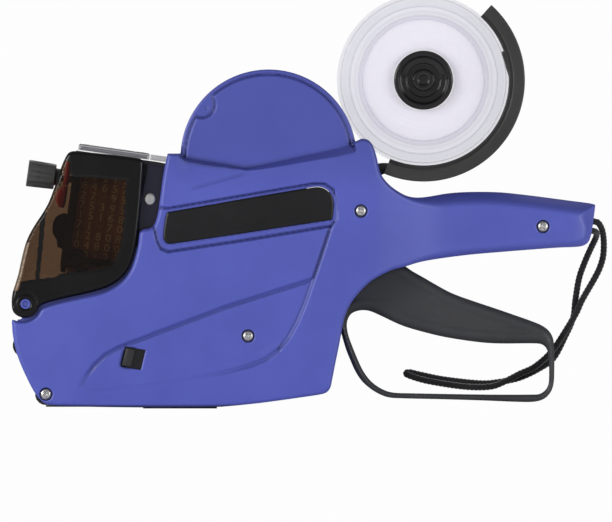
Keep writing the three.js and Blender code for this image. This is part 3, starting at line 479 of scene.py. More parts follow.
def flat_piece(outlines, holes, half, soft, step, box):
    """A flat moulding centred on y = 0: the union of outlines, less the round holes."""
    def region(x, z):
        distance = np.max([field(outline, x, z) for outline in outlines], axis=0)
        for center, radius in holes:
            distance = np.minimum(distance, away(center, x, z) - radius)
        return distance

    points, faces, edges = contour(region, box, step)
    depth = np.clip(region(points[:, 0], points[:, 1]), 0, None)
    return slab(points, faces, edges, half - soft_edge(depth, soft, 2 * soft))


def inward(region, points, wall, reach=4.0):
    """Points moved in so that an edge wall of that thickness fits, and their depth."""
    x, z = points[:, 0], points[:, 1]
    depth = region(x, z)
    dx, dz, norm = gradient(region, x, z, 0.25)
    norm = np.maximum(norm, 1e-6)
    move = np.clip(wall * (1 - np.clip(depth, 0, reach) / reach), 0, None)
    return np.stack([x + dx / norm * move, z + dz / norm * move], 1), depth


def rounded(profile, radius, steps=3):
    """A closed (r, y) profile with its corners rounded, except those on the axis."""
    profile = np.asarray(profile, float)
    out = []
    for i, corner in enumerate(profile):
        before, after = profile[i - 1], profile[(i + 1) % len(profile)]
        to_before = np.linalg.norm(before - corner)
        to_after = np.linalg.norm(after - corner)
        if corner[0] < 1e-6 or to_before < 1e-6 or to_after < 1e-6:
            out.append(tuple(corner))
            continue
        r = min(radius, to_before * 0.45, to_after * 0.45)
        start = corner + (before - corner) / to_before * r
        end = corner + (after - corner) / to_after * r
        for k in range(steps + 1):
            t = k / steps
            out.append(tuple((1 - t) ** 2 * start + 2 * t * (1 - t) * corner + t * t * end))
    return out


def lathe(center, profile, seg=72, along_x=False, span=None, wobble=None):
    """A body turned from a closed (r, along) profile, about y or x.
    center is (x, z), or (y, z) along x; span in degrees makes a capped arc."""
    profile = np.asarray(profile, float)
    if span:
        angles = np.radians(np.linspace(*span, seg + 1))
    else:
        angles = 2 * math.pi * np.arange(seg) / seg
    vertices, index = [], []
    for k, angle in enumerate(angles):
        row = []
        for i, (r, y) in enumerate(profile):
            if r < 1e-6 and not span:         # one shared vertex on the axis
                if k == 0:
                    vertices.append((0.0, y, 0.0))
                    row.append(len(vertices) - 1)
                else:
                    row.append(index[0][i])
                continue
            if wobble:
                r = wobble(r, y, angle)
            vertices.append((r * math.cos(angle), y, r * math.sin(angle)))
            row.append(len(vertices) - 1)
        index.append(row)
    faces = []
    rows, count = len(index), len(profile)
    for k in range(rows - 1 if span else rows):
        here, after = index[k], index[(k + 1) % rows]
        for i in range(count):
            j = (i + 1) % count
            quad = list(dict.fromkeys([here[i], here[j], after[j], after[i]]))
            if len(quad) > 2:
                faces.append(quad)
    if span:
        faces.append(list(reversed(index[0])))
        faces.append(list(index[-1]))
    x, y, z = np.array(vertices).T
    if along_x:
        x, y = y, x + center[0]
    else:
        x = x + center[0]
    return np.stack([x, y, z + center[1]], 1), faces


def sleeve(center, bore, radius, low, high, soft, seg, steps=3, wobble=None):
    """A turned ring along y with rounded corners."""
    profile = [(bore, low), (radius, low), (radius, high), (bore, high)]
    return lathe(center, rounded(profile, soft, steps), seg=seg, wobble=wobble)


def spline(points, step):
    """Even points along a smooth curve through 3-D points, and their distance along it."""
    p = np.asarray(points, float)
    out = []
    for i in range(len(p) - 1):
        a, b, c, d = p[max(i - 1, 0)], p[i], p[i + 1], p[min(i + 2, len(p) - 1)]
        for t in np.arange(12) / 12:
            out.append(0.5 * (2 * b + (c - a) * t + (2 * a - 5 * b + 4 * c - d) * t * t
                              + (3 * b - a - 3 * c + d) * t**3))
    out.append(p[-1])
    out = np.array(out)
    along = np.concatenate([[0], np.cumsum(np.linalg.norm(np.diff(out, axis=0), axis=1))])
    even = np.linspace(0, along[-1], max(4, int(along[-1] / step)))
    return np.stack([np.interp(even, along, out[:, k]) for k in range(3)], 1), even


def tube(points, radius, seg=12, step=0.5):
    """A capped tube; radius is a number or a function of (angle, distance along)."""
    centers, along = spline(points, step)
    tangents = np.gradient(centers, axis=0)
    tangents /= np.linalg.norm(tangents, axis=1)[:, None]
    normal = np.cross(tangents[0], (0.3, 1.0, 0.2))
    normal /= np.linalg.norm(normal)
    angles = 2 * math.pi * np.arange(seg) / seg
    rings = []
    for center, tangent, distance in zip(centers, tangents, along):
        normal = normal - tangent * np.dot(normal, tangent)
        normal /= np.linalg.norm(normal)
        side = np.cross(tangent, normal)
        r = radius(angles, distance) if callable(radius) else np.full(seg, radius)
        rings.append(center + (np.cos(angles) * r)[:, None] * normal
                     + (np.sin(angles) * r)[:, None] * side)
    last = (len(centers) - 1) * seg
    faces = []
    for row in range(0, last, seg):
        for k in range(seg):
            m = (k + 1) % seg
            faces.append([row + k, row + m, row + seg + m, row + seg + k])
    faces.append(list(reversed(range(seg))))
    faces.append([last + k for k in range(seg)])
    return np.concatenate(rings), faces


# --------------------------------------------------------------- shader helpers
def node(tree, kind, inputs=None, **settings):
    """A new node. Each input takes a value, a socket, or a node whose first output is used."""
    made = tree.nodes.new("ShaderNode" + kind)
    for name, value in settings.items():
        setattr(made, name, value)
    for key, value in (inputs or {}).items():
        if isinstance(value, bpy.types.Node):
            value = value.outputs[0]
        if isinstance(value, bpy.types.NodeSocket):
            tree.links.new(value, made.inputs[key])
        else:
            made.inputs[key].default_value = value
    return made


def new_material(name):
    """A material, its empty node tree, and a socket with object coordinates."""
    material = bpy.data.materials.new(name)
    material.use_nodes = True
    tree = material.node_tree
    tree.nodes.clear()
    return material, tree, node(tree, "TexCoord").outputs["Object"]


def grey(value):
    return (value, value, value)


def times(color, factor):
    return tuple(c * factor for c in color)


def noise(tree, vector, scale, detail, roughness=0.5):
    inputs = {"Vector": vector, "Scale": scale, "Detail": detail, "Roughness": roughness}
    return node(tree, "TexNoise", inputs).outputs["Fac"]


def ramp(tree, source, stops):
    """A colour ramp with (position, rgb) stops."""
    made = node(tree, "ValToRGB", {"Fac": source})
    elements = made.color_ramp.elements
    for element, (position, color) in ((elements[0], stops[0]), (elements[1], stops[-1])):
        element.position = position
        element.color = (*color, 1)
    for position, color in stops[1:-1]:
        elements.new(position).color = (*color, 1)
    return made


def map_range(tree, value, low, high, to_low=0.0, to_high=1.0):
    return node(tree, "MapRange", {"Value": value, "From Min": low, "From Max": high,
                                   "To Min": to_low, "To Max": to_high})


def multiply(tree, value, factor):
    return node(tree, "Math", {0: value, 1: factor}, operation="MULTIPLY")


def mix_color(tree, amount, first, second):
    if isinstance(second, tuple):
        second = (*second, 1)
    return node(tree, "MixRGB", {"Fac": amount, "Color1": first, "Color2": second})


def mix_shader(tree, amount, first, second):
    return node(tree, "MixShader", {"Fac": amount, 1: first, 2: second})


def up_part(tree, vector):
    return node(tree, "SeparateXYZ", {"Vector": vector}).outputs["Z"]


def bump_node(tree, height, strength, distance, **inputs):
    inputs = {"Height": height, "Strength": strength, "Distance": distance, **inputs}
    return node(tree, "Bump", inputs)


def axis_distance(tree, coords, center):
    """Distance, in metres, from the line along y through the (x, z) center."""
    place = (center[0] / 1000, 0, center[1] / 1000)
    offset = node(tree, "VectorMath", {0: coords, 1: place}, operation="SUBTRACT")
    flat = node(tree, "VectorMath", {0: offset, 1: (1, 0, 1)}, operation="MULTIPLY")
    return node(tree, "VectorMath", {0: flat}, operation="LENGTH").outputs["Value"]


def ring_noise(tree, radius, scale, detail):
    return noise(tree, node(tree, "CombineXYZ", {"X": radius}), scale, detail)


# ------------------------------------------------------------------- materials
def plastic(name, color, rough=0.42, grain=1500.0, bump=0.12, vary=0.08, wear=0.0, metallic=0.0,
            coat=0.0, specular=0.5, scratch=0.25, sheen=0.0, crease_shade=0.0, top_shade=0.0,
            upward_shade=0.0):
    """Moulded or plated surface: fine grain, slow colour changes, rubbed marks, worn edges.

    vary and scratch are the relative changes of colour and roughness; wear lightens edges;
    the three last settings paint shade: they darken creases, the shell top and
    upward-leaning faces.
    """
    material, tree, coords = new_material(name)
    slow = noise(tree, coords, scale=38.0, detail=4.0, roughness=0.6)
    fine = noise(tree, coords, scale=grain, detail=2.0)
    stretched = node(tree, "Mapping", {"Vector": coords, "Scale": (60.0, 60.0, 900.0),
                                       "Rotation": (0.3, 0.5, 0.9)})
    rub = noise(tree, stretched, scale=1.0, detail=6.0, roughness=0.65)

    light = tuple(min(1.0, c * (1 + vary) + 0.004) for c in color)
    shade = ramp(tree, slow, [(0.3, times(color, 1 - vary)), (0.7, light)])
    if wear:
        pointiness = node(tree, "NewGeometry").outputs["Pointiness"]
        edge = map_range(tree, pointiness, low=0.51, high=0.58)
        worn = tuple(min(1.0, c * 1.6 + 0.05) for c in color)
        shade = mix_color(tree, multiply(tree, edge, wear), shade, worn)
    # painted shade: creases and corners darkened by ambient occlusion
    if crease_shade:
        occlusion = node(tree, "AmbientOcclusion", {"Distance": 0.0022}, samples=6)
        amount = map_range(tree, occlusion.outputs["AO"], low=0.62, high=0.965,
                           to_low=crease_shade, to_high=0.0)
        shade = mix_color(tree, amount, shade, times(color, 0.16))
    # painted shade: the shell top darkened with height, as if less lit
    if top_shade:
        height = up_part(tree, coords)
        amount = map_range(tree, height, low=0.092, high=0.112, to_high=top_shade)
        shade = mix_color(tree, amount, shade, times(color, 0.55))
    # painted shade: faces leaning upwards darkened, as if turned from the light
    if upward_shade:
        lean = up_part(tree, node(tree, "NewGeometry").outputs["Normal"])
        amount = map_range(tree, lean, low=0.22, high=0.62, to_high=upward_shade)
        shade = mix_color(tree, amount, shade, times(color, 0.38))

    gloss = ramp(tree, rub, [(0.35, grey(max(0.03, rough * (1 - scratch)))),
                             (0.68, grey(min(1.0, rough * (1 + scratch))))])
    grain_bump = bump_node(tree, fine, strength=bump, distance=0.0001)
    bumps = bump_node(tree, slow, strength=bump * 0.35, distance=0.0004, Normal=grain_bump)
    surface = node(tree, "BsdfPrincipled", {
        "Base Color": shade, "Metallic": metallic, "Roughness": gloss, "Normal": bumps,
        "Specular IOR Level": specular, "Coat Weight": coat, "Coat Roughness": 0.08,
        "Sheen Weight": sheen})
    node(tree, "OutputMaterial", {"Surface": surface})
    return material


def turned_tint(tree, coords, tint, center):
    """Tint with turned rings about center, denser in a band outside the roll."""
    radius = axis_distance(tree, coords, center)
    turned = ring_noise(tree, radius, scale=620.0, detail=2.0)
    # 40 mm of radius over the ramp
    zone = ramp(tree, multiply(tree, radius, 25.0), [
        (0.0, tint), (0.625, tint), (0.642, (0.905, 0.90, 0.94)), (0.69, (0.925, 0.92, 0.95)),
        (0.72, (0.975, 0.975, 0.99)), (0.745, (0.93, 0.925, 0.955)),
        (0.79, (0.965, 0.965, 0.98)), (0.83, (0.94, 0.94, 0.96)), (0.87, (0.985, 0.985, 0.99)),
        (1.0, (0.96, 0.96, 0.98))])
    amount = map_range(tree, radius, low=0.0252, high=0.0262, to_high=0.55)
    lines = ramp(tree, turned, [(0.36, (0.91, 0.905, 0.935)), (0.62, (0.99, 0.99, 0.998))])
    return mix_color(tree, amount, zone, lines)


def see_through(name, tint, rough, haze, haze_color, reflect, streak=0.0, rings=None):
    """Thin clear plastic: tinted, with a surface reflection, a little haze and streaks."""
    material, tree, coords = new_material(name)
    slow = noise(tree, coords, scale=55.0, detail=4.0)
    fine = noise(tree, coords, scale=700.0, detail=2.0)
    if rings:
        body_tint = turned_tint(tree, coords, tint, rings)
    else:
        light = tuple(min(1, c * 1.05) for c in tint)
        body_tint = ramp(tree, slow, [(0.3, times(tint, 0.95)), (0.7, light)])
    clear = node(tree, "BsdfTransparent", {"Color": body_tint})
    cloud = node(tree, "BsdfDiffuse", {"Color": (*haze_color, 1)})
    haze_amount = ramp(tree, slow, [(0.25, grey(haze * 0.8)), (0.75, grey(min(1, haze * 1.2)))])
    body = mix_shader(tree, haze_amount, clear, cloud)
    gloss = node(tree, "BsdfGlossy", {
        "Roughness": ramp(tree, slow, [(0.3, grey(rough)), (0.75, grey(rough * 1.8))]),
        "Normal": bump_node(tree, fine, strength=0.10 + streak, distance=0.0002)})
    fresnel = node(tree, "Fresnel", {"IOR": 1.45})
    surface = mix_shader(tree, multiply(tree, fresnel, reflect), body, gloss)
    node(tree, "OutputMaterial", {"Surface": surface})
    return material


def wound(name, color, pitch, strength, rough, painted_glow=0.0):
    """Paper wound about the roll centre: fine rings on the end faces, faint layer edges."""
    material, tree, coords = new_material(name)
    radius = axis_distance(tree, coords, ROLL_CENTER)
    rings = ring_noise(tree, radius, scale=1000.0 / pitch, detail=3.0)
    fibre = noise(tree, coords, scale=600.0, detail=4.0)
    grain = mix_color(tree, 0.35, rings, fibre)
    surface = node(tree, "BsdfPrincipled", {
        "Roughness": rough,
        "Base Color": ramp(tree, grain, [(0.35, times(color, 0.93)), (0.62, color)]),
        "Normal": bump_node(tree, grain, strength=strength, distance=0.0002)})
    if painted_glow:                              # painted light: the paper glows a little, as if more brightly lit
        surface.inputs["Emission Color"].default_value = (0.97, 0.95, 1.0, 1)
        surface.inputs["Emission Strength"].default_value = painted_glow
    node(tree, "OutputMaterial", {"Surface": surface})
    return material


# The blue, grey, bow and knob looks darken their creases as painted shade; the blue also paints
# shade on the shell top and on upward-leaning faces.
LOOKS = {
    "blue": plastic("moulded_blue", (0.094, 0.117, 0.525), rough=0.40, grain=2200, bump=0.16,
                    vary=0.05, wear=0.2, crease_shade=0.85, top_shade=0.40, upward_shade=0.62,
                    scratch=0.12),
    "badge": plastic("gloss_black", (0.005, 0.005, 0.006), rough=0.34, grain=500, bump=0.02,
                     vary=0.2, specular=0.42, scratch=0.06),
    "black": plastic("moulded_black", (0.010, 0.010, 0.011), rough=0.38, bump=0.2, vary=0.2,
                     wear=0.25, scratch=0.1),
    "grey": plastic("moulded_grey", (0.040, 0.041, 0.044), rough=0.50, grain=2600, bump=0.3,
                    wear=0.3, crease_shade=0.6),
    "arm": plastic("moulded_arm", (0.012, 0.012, 0.014), bump=0.2, vary=0.15),
    "navy": plastic("moulded_navy", (0.010, 0.009, 0.028), rough=0.34, vary=0.1, wear=0.3,
                    scratch=0.08),
    "red": plastic("moulded_red", (0.42, 0.02, 0.015), rough=0.35, grain=1200, bump=0.1),
    "nylon": plastic("nylon_white", (0.72, 0.72, 0.69), rough=0.5, grain=1200, bump=0.2,
                     vary=0.04),
    "rubber": plastic("rubber_black", (0.014, 0.014, 0.014), rough=0.85, grain=900, bump=0.5,
                      vary=0.2, specular=0.25),
    "band": plastic("band_rubber", (0.40, 0.205, 0.10), rough=0.7, grain=900, bump=0.4,
                    vary=0.45, specular=0.3),
    "digit": plastic("band_digit", (1.0, 0.76, 0.34), rough=0.6, grain=700, bump=0.3, vary=0.3),
    "bow": plastic("moulded_bow", (0.027, 0.0265, 0.0255), rough=0.52, grain=2600, bump=0.3,
                   wear=0.3, crease_shade=0.6),
    "knob": plastic("moulded_knob", (0.056, 0.056, 0.054), rough=0.45, grain=2600, bump=0.3,
                    vary=0.1, wear=0.3, crease_shade=0.7),
    "hub": plastic("glossy_hub", (0.009, 0.009, 0.010), rough=0.17, grain=900, bump=0.08,
                   vary=0.2, coat=0.3),
    "felt": plastic("inked_felt", (0.012, 0.011, 0.028), rough=0.98, grain=1800, bump=1.0,
                    vary=0.4, sheen=0.4, specular=0.1),
    "cord": plastic("braided_cord", (0.012, 0.012, 0.014), rough=0.75, grain=5000, bump=0.9,
                    vary=0.3, sheen=0.35, specular=0.25),
    "steel": plastic("plated_steel", (0.56, 0.56, 0.57), rough=0.30, grain=2500, vary=0.12,
                     metallic=1.0, wear=0.2),
    "zinc": plastic("zinc_screw", (0.66, 0.655, 0.64), rough=0.34, grain=3000, bump=0.2,
                    vary=0.12, metallic=0.85),
    "smoke": see_through("smoked_cover", (0.535, 0.458, 0.388), rough=0.05, haze=0.03,
                         haze_color=(0.08, 0.05, 0.035), reflect=0.55),
    "mask": plastic("cover_mask", (0.0028, 0.0026, 0.0028), rough=0.2, grain=700, bump=0.03,
                    vary=0.2, specular=0.32, scratch=0.04),
    "clear": see_through("clear_window", (0.88, 0.88, 0.90), rough=0.08, haze=0.34,
                         haze_color=(0.40, 0.40, 0.42), reflect=1.0),
    "disc": see_through("frosted_disc", (0.992, 0.99, 1.0), rough=0.16, haze=0.05,
                        haze_color=(0.88, 0.88, 0.95), streak=0.15, reflect=0.45,
                        rings=ROLL_CENTER),
    # painted light: the label roll glows a little
    "paper": wound("label_roll", (0.97, 0.955, 1.0), pitch=0.55, strength=0.25, rough=0.65,
                   painted_glow=0.27),
    "card": wound("card_core", (0.45, 0.35, 0.22), pitch=0.4, strength=0.4, rough=0.85),
}


def piece(name, part, body, looks, replaces=None, angle=38, recalc=False, face_looks=None):
    """Makes the object. The first look sets its slot; angle is the sharp-edge limit in degrees."""
    looks = looks.split()
    vertices, faces = part
    mesh = bpy.data.meshes.new(name)
    mesh.from_pydata((np.asarray(vertices, float) * MM).tolist(), [], faces)
    if recalc:
        bm = bmesh.new()
        bm.from_mesh(mesh)
        bmesh.ops.recalc_face_normals(bm, faces=bm.faces)
        bm.to_mesh(mesh)
        bm.free()
    for look in looks:
        mesh.materials.append(LOOKS[look])
    if face_looks is not None:
        mesh.polygons.foreach_set("material_index", np.asarray(face_looks, np.int32))
    mesh.shade_smooth()
    if angle is not None:
        mesh.set_sharp_from_angle(angle=math.radians(angle))
    mesh.update()
    made = bpy.data.objects.new(name, mesh)
    bpy.context.scene.collection.objects.link(made)
    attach(made, body)
    if replaces:
        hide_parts(replaces)
    return made


def arm_piece(name, part, body, look, replaces=None, angle=38):
    piece(name, tilt(part), body, look, replaces, angle, recalc=True)


# ---------------------------------------------------------------- body shells
width_x = np.arange(-90.0, 195.0, 0.5)
_kernel = np.exp(-0.5 * (np.arange(-16, 17) * 0.5 / 3.0) ** 2)
width_y = np.convolve(np.pad(np.interp(width_x, *zip(*WIDTH)), 16, mode="edge"),
                      _kernel / _kernel.sum(), mode="valid")

DOME_ARC = arc(DOME_CENTER, DOME_RADIUS, np.linspace(177.35, 10.45, 90))
BODY_CURVE = smooth(BODY)
OUTLINE = np.concatenate([[BODY[0]], DOME_ARC, smooth(BODY[9:], closed=False)])
BADGE_CURVE = smooth(BADGE, sharp=60)
LATCH_CURVE = smooth(LATCH_SLOT, sharp=20)


def body_field(x, z):
    return field(OUTLINE, x, z)


def step_width(x):
    return np.interp(x, [0, 27, 34, 76], [1.1, 1.2, 2.1, 5.2])


def step_offset(x, z):
    """Distance from the foot of the dome, positive towards the wide body."""
    in_body = inside(BODY_CURVE, x, z) | (z < 99.0) | (x > 82.0)
    return line_distance(TOP_EDGE, x, z) * np.where(in_body, 1, -1)


def facet_cut(x, z, offset, raised):
    """Folded facet under the left part of the step."""
    x0, z0 = 4.5, 92.2
    run_x, run_z = 29.4 - x0, 99.3 - z0
    length = math.hypot(run_x, run_z)
    above = ((z - z0) * run_x - (x - x0) * run_z) / length
    along = ((x - x0) * run_x + (z - z0) * run_z) / length
    fade = ease((along + 4.0) / 8.0) * ease((length + 3.0 - along) / 8.0) * (raised > 0.99)
    return 0.15 * np.clip(above, 0, 9.0) * fade * (offset > 0) + groove(above, 0.5, 0.6) * fade


def leaf_cut(x, z, in_ledge):
    """Sculpted leaf: crisp at its top and right, soft at its lower side, with line grooves."""
    top = line_distance(LEAF_TOP, x, z)
    right = line_distance(LEAF_RIGHT, x, z)
    lower = line_distance(LEAF_LOWER, x, z)
    depth = np.minimum(np.minimum(ease(top / 0.7), ease(right / 0.8)), ease(lower / 5.0))
    top_line = groove(line_distance(LEAF_TOP[1:], x, z), 1.1, 0.72) * ease((z - 9.0) / 8.0)
    low_depth = (0.34 + 0.5 * ease((x - 2.0) / 34.0)) * ease((x + 46.0) / 16.0)
    right_line = groove(right, 1.05, 0.68) * (in_ledge < 0.4)
    lines = np.maximum(np.maximum(top_line, groove(lower, low_depth, 0.95)), right_line)
    return 0.85 * np.where(inside(LEAF, x, z), depth, 0) + lines


def rim_cut(x, z, depth, raised):
    """Rounded edge of the wide body, and the bevelled rim of the dome wall."""
    handle = ease((x - 92.0) / 22.0)
    upper = ease((z - 74.0) / 8.0)
    radius = 1.5 * (1 - handle) + handle * (3.4 + 3.4 * upper)
    edge = soft_edge(depth, 0.78 * radius, radius)
    # the rim widens into a round lobe at the upper left of the dome
    lobe = away((9.2, 127.6), x, z) - 3.4
    rim = np.clip(np.minimum(depth, np.maximum(lobe, 0)), 0, None)
    bevel = 0.6 * (1 - ease((rim - 1.7) / 0.7)) + groove(rim - 2.1, 0.7, 0.5)
    bevel = bevel + soft_edge(depth, 0.5, 0.9)
    dimple = groove(away((11.0, 126.3), x, z), 0.5, 0.75) * (raised < 0.5)
    return np.where(raised < 0.5, bevel, edge) + dimple


def shell_height(x, z, depth):
    """Half width of the shell's outer face, with its steps, recesses and rounded edges."""
    offset = step_offset(x, z)
    # raised: 0 on the narrow dome, 1 on the wide body
    raised = 1 - ease((x + 0.6) / 1.5) * (1 - ease(offset / step_width(x)))
    from_dome = away(DOME_CENTER, x, z)
    round_end = np.where(from_dome > DOME_RADIUS + 0.02, 1.0,
                         ease((from_dome - (DOME_RADIUS - 0.7)) / 0.7) * ease(offset / 0.6))
    raised = np.where(x > 60.0, np.maximum(raised, round_end), raised)
    height = DOME_HALF + (np.interp(x, width_x, width_y) - DOME_HALF) * raised
    height = height - facet_cut(x, z, offset, raised)
    in_ledge = field(LEDGE, x, z)
    height = height - 0.7 * ease((in_ledge + 0.2) / 0.7) * raised
    height = height - groove(in_ledge - 0.4, 0.55, 0.55) * (raised > 0.99) * (x < 65.0)
    height = height - leaf_cut(x, z, in_ledge) - rim_cut(x, z, depth, raised)
    # soft edges on the latch and badge holes
    height = height - soft_edge(np.abs(field(LATCH_CURVE, x, z)), 0.28, 0.55)
    return height - soft_edge(np.abs(field(BADGE_CURVE, x, z) + 0.3), 0.22, 0.5)


def snap_to_step(points, fixed, step):
    """Moves grid points near the top or foot of the step onto it, for clean edges."""
    points = points.copy()
    x, z = points.T
    near = ~fixed & (z > 96.0) & (z < 116.0) & (x > -2.0) & (x < 77.0)
    ids = np.nonzero(near)[0]
    x, z = points[ids, 0], points[ids, 1]
    offset = step_offset(x, z)
    dx, dz, norm = gradient(step_offset, x, z, 0.05)
    steady = (norm > 0.08) & (norm < 0.12)
    fine = (z > FINE_ROWS[0]) & (z < FINE_ROWS[1]) & (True)
    reach = np.where(fine, 0.44 * step / FINE_ROWS[2], 0.42 * step)
    move = np.zeros(len(ids))
    for target in (np.zeros(len(ids)), step_width(x)):
        move = np.where(steady & (np.abs(target - offset) < reach), target - offset, move)
    norm = np.maximum(norm, 1e-6)
    points[ids, 0] += dx / norm * move
    points[ids, 1] += dz / norm * move
    return points


def half_shell(with_screws, step):
    screw_places = [screw[1] for screw in SCREWS] if with_screws else []

    def region(x, z):
        distance = np.minimum(body_field(x, z), -field(BADGE_CURVE, x, z) - 0.15)
        distance = np.minimum(distance, -field(LATCH_CURVE, x, z))
        for place in screw_places:
            distance = np.minimum(distance, away(place, x, z) - SCREW_WELL)
        return distance

    box = (-72.5, 176.5, -1.5, 144.5)
    points, faces, edges = contour(region, box, step, FINE_ROWS)
    fixed = np.zeros(len(points), bool)
    fixed[np.unique(np.array(edges))] = True
    points = snap_to_step(points, fixed, step)
    inner, depth = inward(body_field, points, 1.8)
    x, z = points[:, 0], points[:, 1]
    y = shell_height(x, z, np.clip(depth, 0, None))
    for place in screw_places:
        y = y - soft_edge(away(place, x, z) - SCREW_WELL, 0.2, 0.5)
    y_in = np.where(y > 20.4, np.maximum(y - WALL, 19.15), y - WALL)
    on_edge = np.abs(depth) < 0.35
    closed = np.min([line_distance(line, x, z) for line in CLOSED_EDGES], axis=0) < 0.9
    lipped = (line_distance(LIPPED_EDGE, x, z) < 0.9) & ~closed
    rim = np.where(on_edge & closed, 0.09, y_in - 0.06)
    rim = np.where(on_edge & lipped, np.minimum(rim, 9.4), rim)
    return skin(points, faces, edges, y, y_in, rim, inner)


def build_shells():
    for tag, side in LEFT_RIGHT:
        shell = on_side(half_shell(side < 0, SHELL_STEP), side)
        piece("shell_" + tag, shell, "root", "blue", tag + "_shell", angle=42)
    bosses = join([sleeve(place, bore, radius, low, high, 0.3, 36, steps=2)
                   for place, bore, radius, low, high in BOSSES])
    for tag, side in LEFT_RIGHT:
        piece("shell_bosses_" + tag, on_side(bosses, side, built=1), "root", "blue",
              angle=35, recalc=True)


def build_shell_lips():
    """Lip behind the gap to the front cover."""
    line = smooth([(-62.4, 38.4), (-59.8, 39.9), (-57.6, 42.3), *COVER_GAP, (-17.9, 68.0)],
                  sharp=80, closed=False)
    tangent = np.gradient(line, axis=0)
    tangent /= np.linalg.norm(tangent, axis=1)[:, None]
    normal = np.stack([-tangent[:, 1], tangent[:, 0]], 1)
    outline = np.concatenate([line + normal * 2.0, (line - normal * 1.8)[::-1]])
    strip, depth = sheet(outline, (-66, -12, 34, 72), 0.5)
    front, _ = sheet([(-68.2, 35.8), (-61.5, 35.8), (-61.5, 38.7), (-66.0, 38.1), (-67.0, 37.5),
                      (-68.2, 37.4)], (-72, -60, 34, 40), 0.35)
    lip = join([skin(*strip, 19.9 - soft_edge(depth, 0.3, 0.6), 18.3, 18.25),
                skin(*front, 19.85, 18.3, 18.25)])
    for tag, side in LEFT_RIGHT:
        piece("shell_lip_" + tag, on_side(lip, side), "root", "blue", angle=40, recalc=True)


def build_cover_hinges():
    """Hinge ears with stubs that carry the front cover."""
    outline = smooth([(-66.6, 30.0), (-66.6, 40.6), (-67.6, 42.2), (-67.8, 44.6), (-66.9, 46.8),
                      (-64.9, 47.7), (-62.3, 46.8), (-60.9, 43.9), (-60.9, 30.0)], sharp=60)
    ear = flat_piece([outline], [], 1.35, 0.25, 0.5, (-69, -59, 28, 49))
    stub = lathe(COVER_PIVOT, rounded([(0, 19.2), (2.1, 19.2), (2.1, 22.0), (1.3, 22.0),
                                       (1.1, 21.5), (0, 21.5)], 0.25), seg=40)
    hinge = join([shift(ear, 18.55), stub])
    for tag, side in LEFT_RIGHT:
        piece("cover_hinge_" + tag, on_side(hinge, side, built=1), "root", "blue", recalc=True)


def build_badges():
    flat, depth = sheet(BADGE_CURVE, (-9, 67, 67, 95), 0.4)
    badge = skin(*flat, 22.8 - soft_edge(depth, 0.26, 0.5), 20.9, 20.86)
    for (tag, side), (cad_tag, _) in zip(NEAR_FAR, LEFT_RIGHT):
        piece("badge_" + tag, on_side(badge, side), "root", "badge", "badge_" + cad_tag,
              angle=50)


def build_screw(name, place, half, length):
    """Domed head with a cross slot, on a plain shank."""
    head_radius, slot_half, slot_reach, turn = 2.35, 0.42, 1.5, 0.6
    bounds = [c + d for c in place for d in (-2.6, 2.6)]
    flat = contour(lambda x, z: head_radius - away(place, x, z), bounds, 0.14)
    x, z = flat[0][:, 0] - place[0], flat[0][:, 1] - place[1]
    r = np.hypot(x, z)
    u = x * math.cos(turn) + z * math.sin(turn)
    v = -x * math.sin(turn) + z * math.cos(turn)

    def bar(across, along):
        return (np.clip((slot_half - np.abs(across)) / 0.2, 0, 1)
                * np.clip((slot_reach - np.abs(along)) / 0.25, 0, 1))

    top = half - 0.5 - 0.75 * np.clip(r / head_radius, 0, 1) ** 3
    top = top - np.maximum(bar(u, v), bar(v, u)) * (0.75 + 0.3 * np.clip(1 - r / 0.9, 0, 1))
    head = skin(*flat, top, half - 1.8, half - 1.85)
    shank = lathe(place, rounded([(0, -half + 1.9), (1.15, -half + 1.9), (1.2, -half + length),
                                  (0, -half + length + 0.6)], 0.2), seg=24)
    piece("fastener_" + name, join([head, shank]), "root", "zinc", "screw_" + name, angle=40)


def build_screws():
    for screw in SCREWS:
        build_screw(*screw)


# --------------------------------------------------------- trigger and gearing
def build_trigger_blade():
    blade, opening = smooth(TRIGGER), smooth(TRIGGER_OPENING)

    def region(x, z):
        distance = np.minimum(field(blade, x, z), -field(opening, x, z))
        distance = np.minimum(distance, away(TRIGGER_PIVOT, x, z) - TRIGGER_BORE)
        return np.minimum(distance, away(DRIVE_PIN, x, z) - 1.95)

    points, faces, edges = contour(region, (37, 158.5, 1.5, 71), 0.5)
    depth = np.clip(region(points[:, 0], points[:, 1]), 0, None)
    # rounded edges and a shallow dish along the middle
    half = 8.0 - 2.0 * np.clip(1 - depth / 3.2, 0, 1) ** 2.2 - 0.45 * ease((depth - 3.6) / 2.0)
    piece("trigger_blade", slab(points, faces, edges, half), "trigger", "grey", "trigger",
          angle=45)


def gear_points(center, pitch_radius, teeth, phase, first=0, last=None):
    """Outline of gear teeth; phase is the angle of tooth 0 in degrees."""
    flank = ((-1.15, 0.30), (-0.4, 0.235), (0.3, 0.175), (0.78, 0.10))  # modules out, pitches off
    pitch = 360 / teeth
    points = []
    for i in range(first, teeth if last is None else last):
        for side, half in ((-1, flank), (1, flank[::-1])):
            for out, off in half:
                points.append(polar(center, pitch_radius + out * GEAR_MODULE,
                                    phase + i * pitch + side * off * pitch))
    return points


def build_trigger_sector():
    x, z = TRIGGER_PIVOT
    toothed = gear_points(TRIGGER_PIVOT, 51.45, 50, 217.3, first=-3, last=1)
    toothed += arc(TRIGGER_PIVOT, 46.9, (226, 219, 212, 205, 198, 191))
    spoke = [(x - 1, z - 6), (x - 5, z + 3), *arc(TRIGGER_PIVOT, 47.5, (196, 203.5))]
    ring = circle(TRIGGER_PIVOT, 6, 36)
    sector = flat_piece([toothed, spoke, ring], [(TRIGGER_PIVOT, TRIGGER_BORE)], 1.6, 0.3, 0.45,
                        (0, 66, 15, 72))
    hub = sleeve(TRIGGER_PIVOT, TRIGGER_BORE, 6.0, -9.6, -7.4, 0.2, 40)
    piece("trigger_sector", join([shift(sector, -11.0), hub]), "trigger", "grey", angle=40,
          recalc=True)


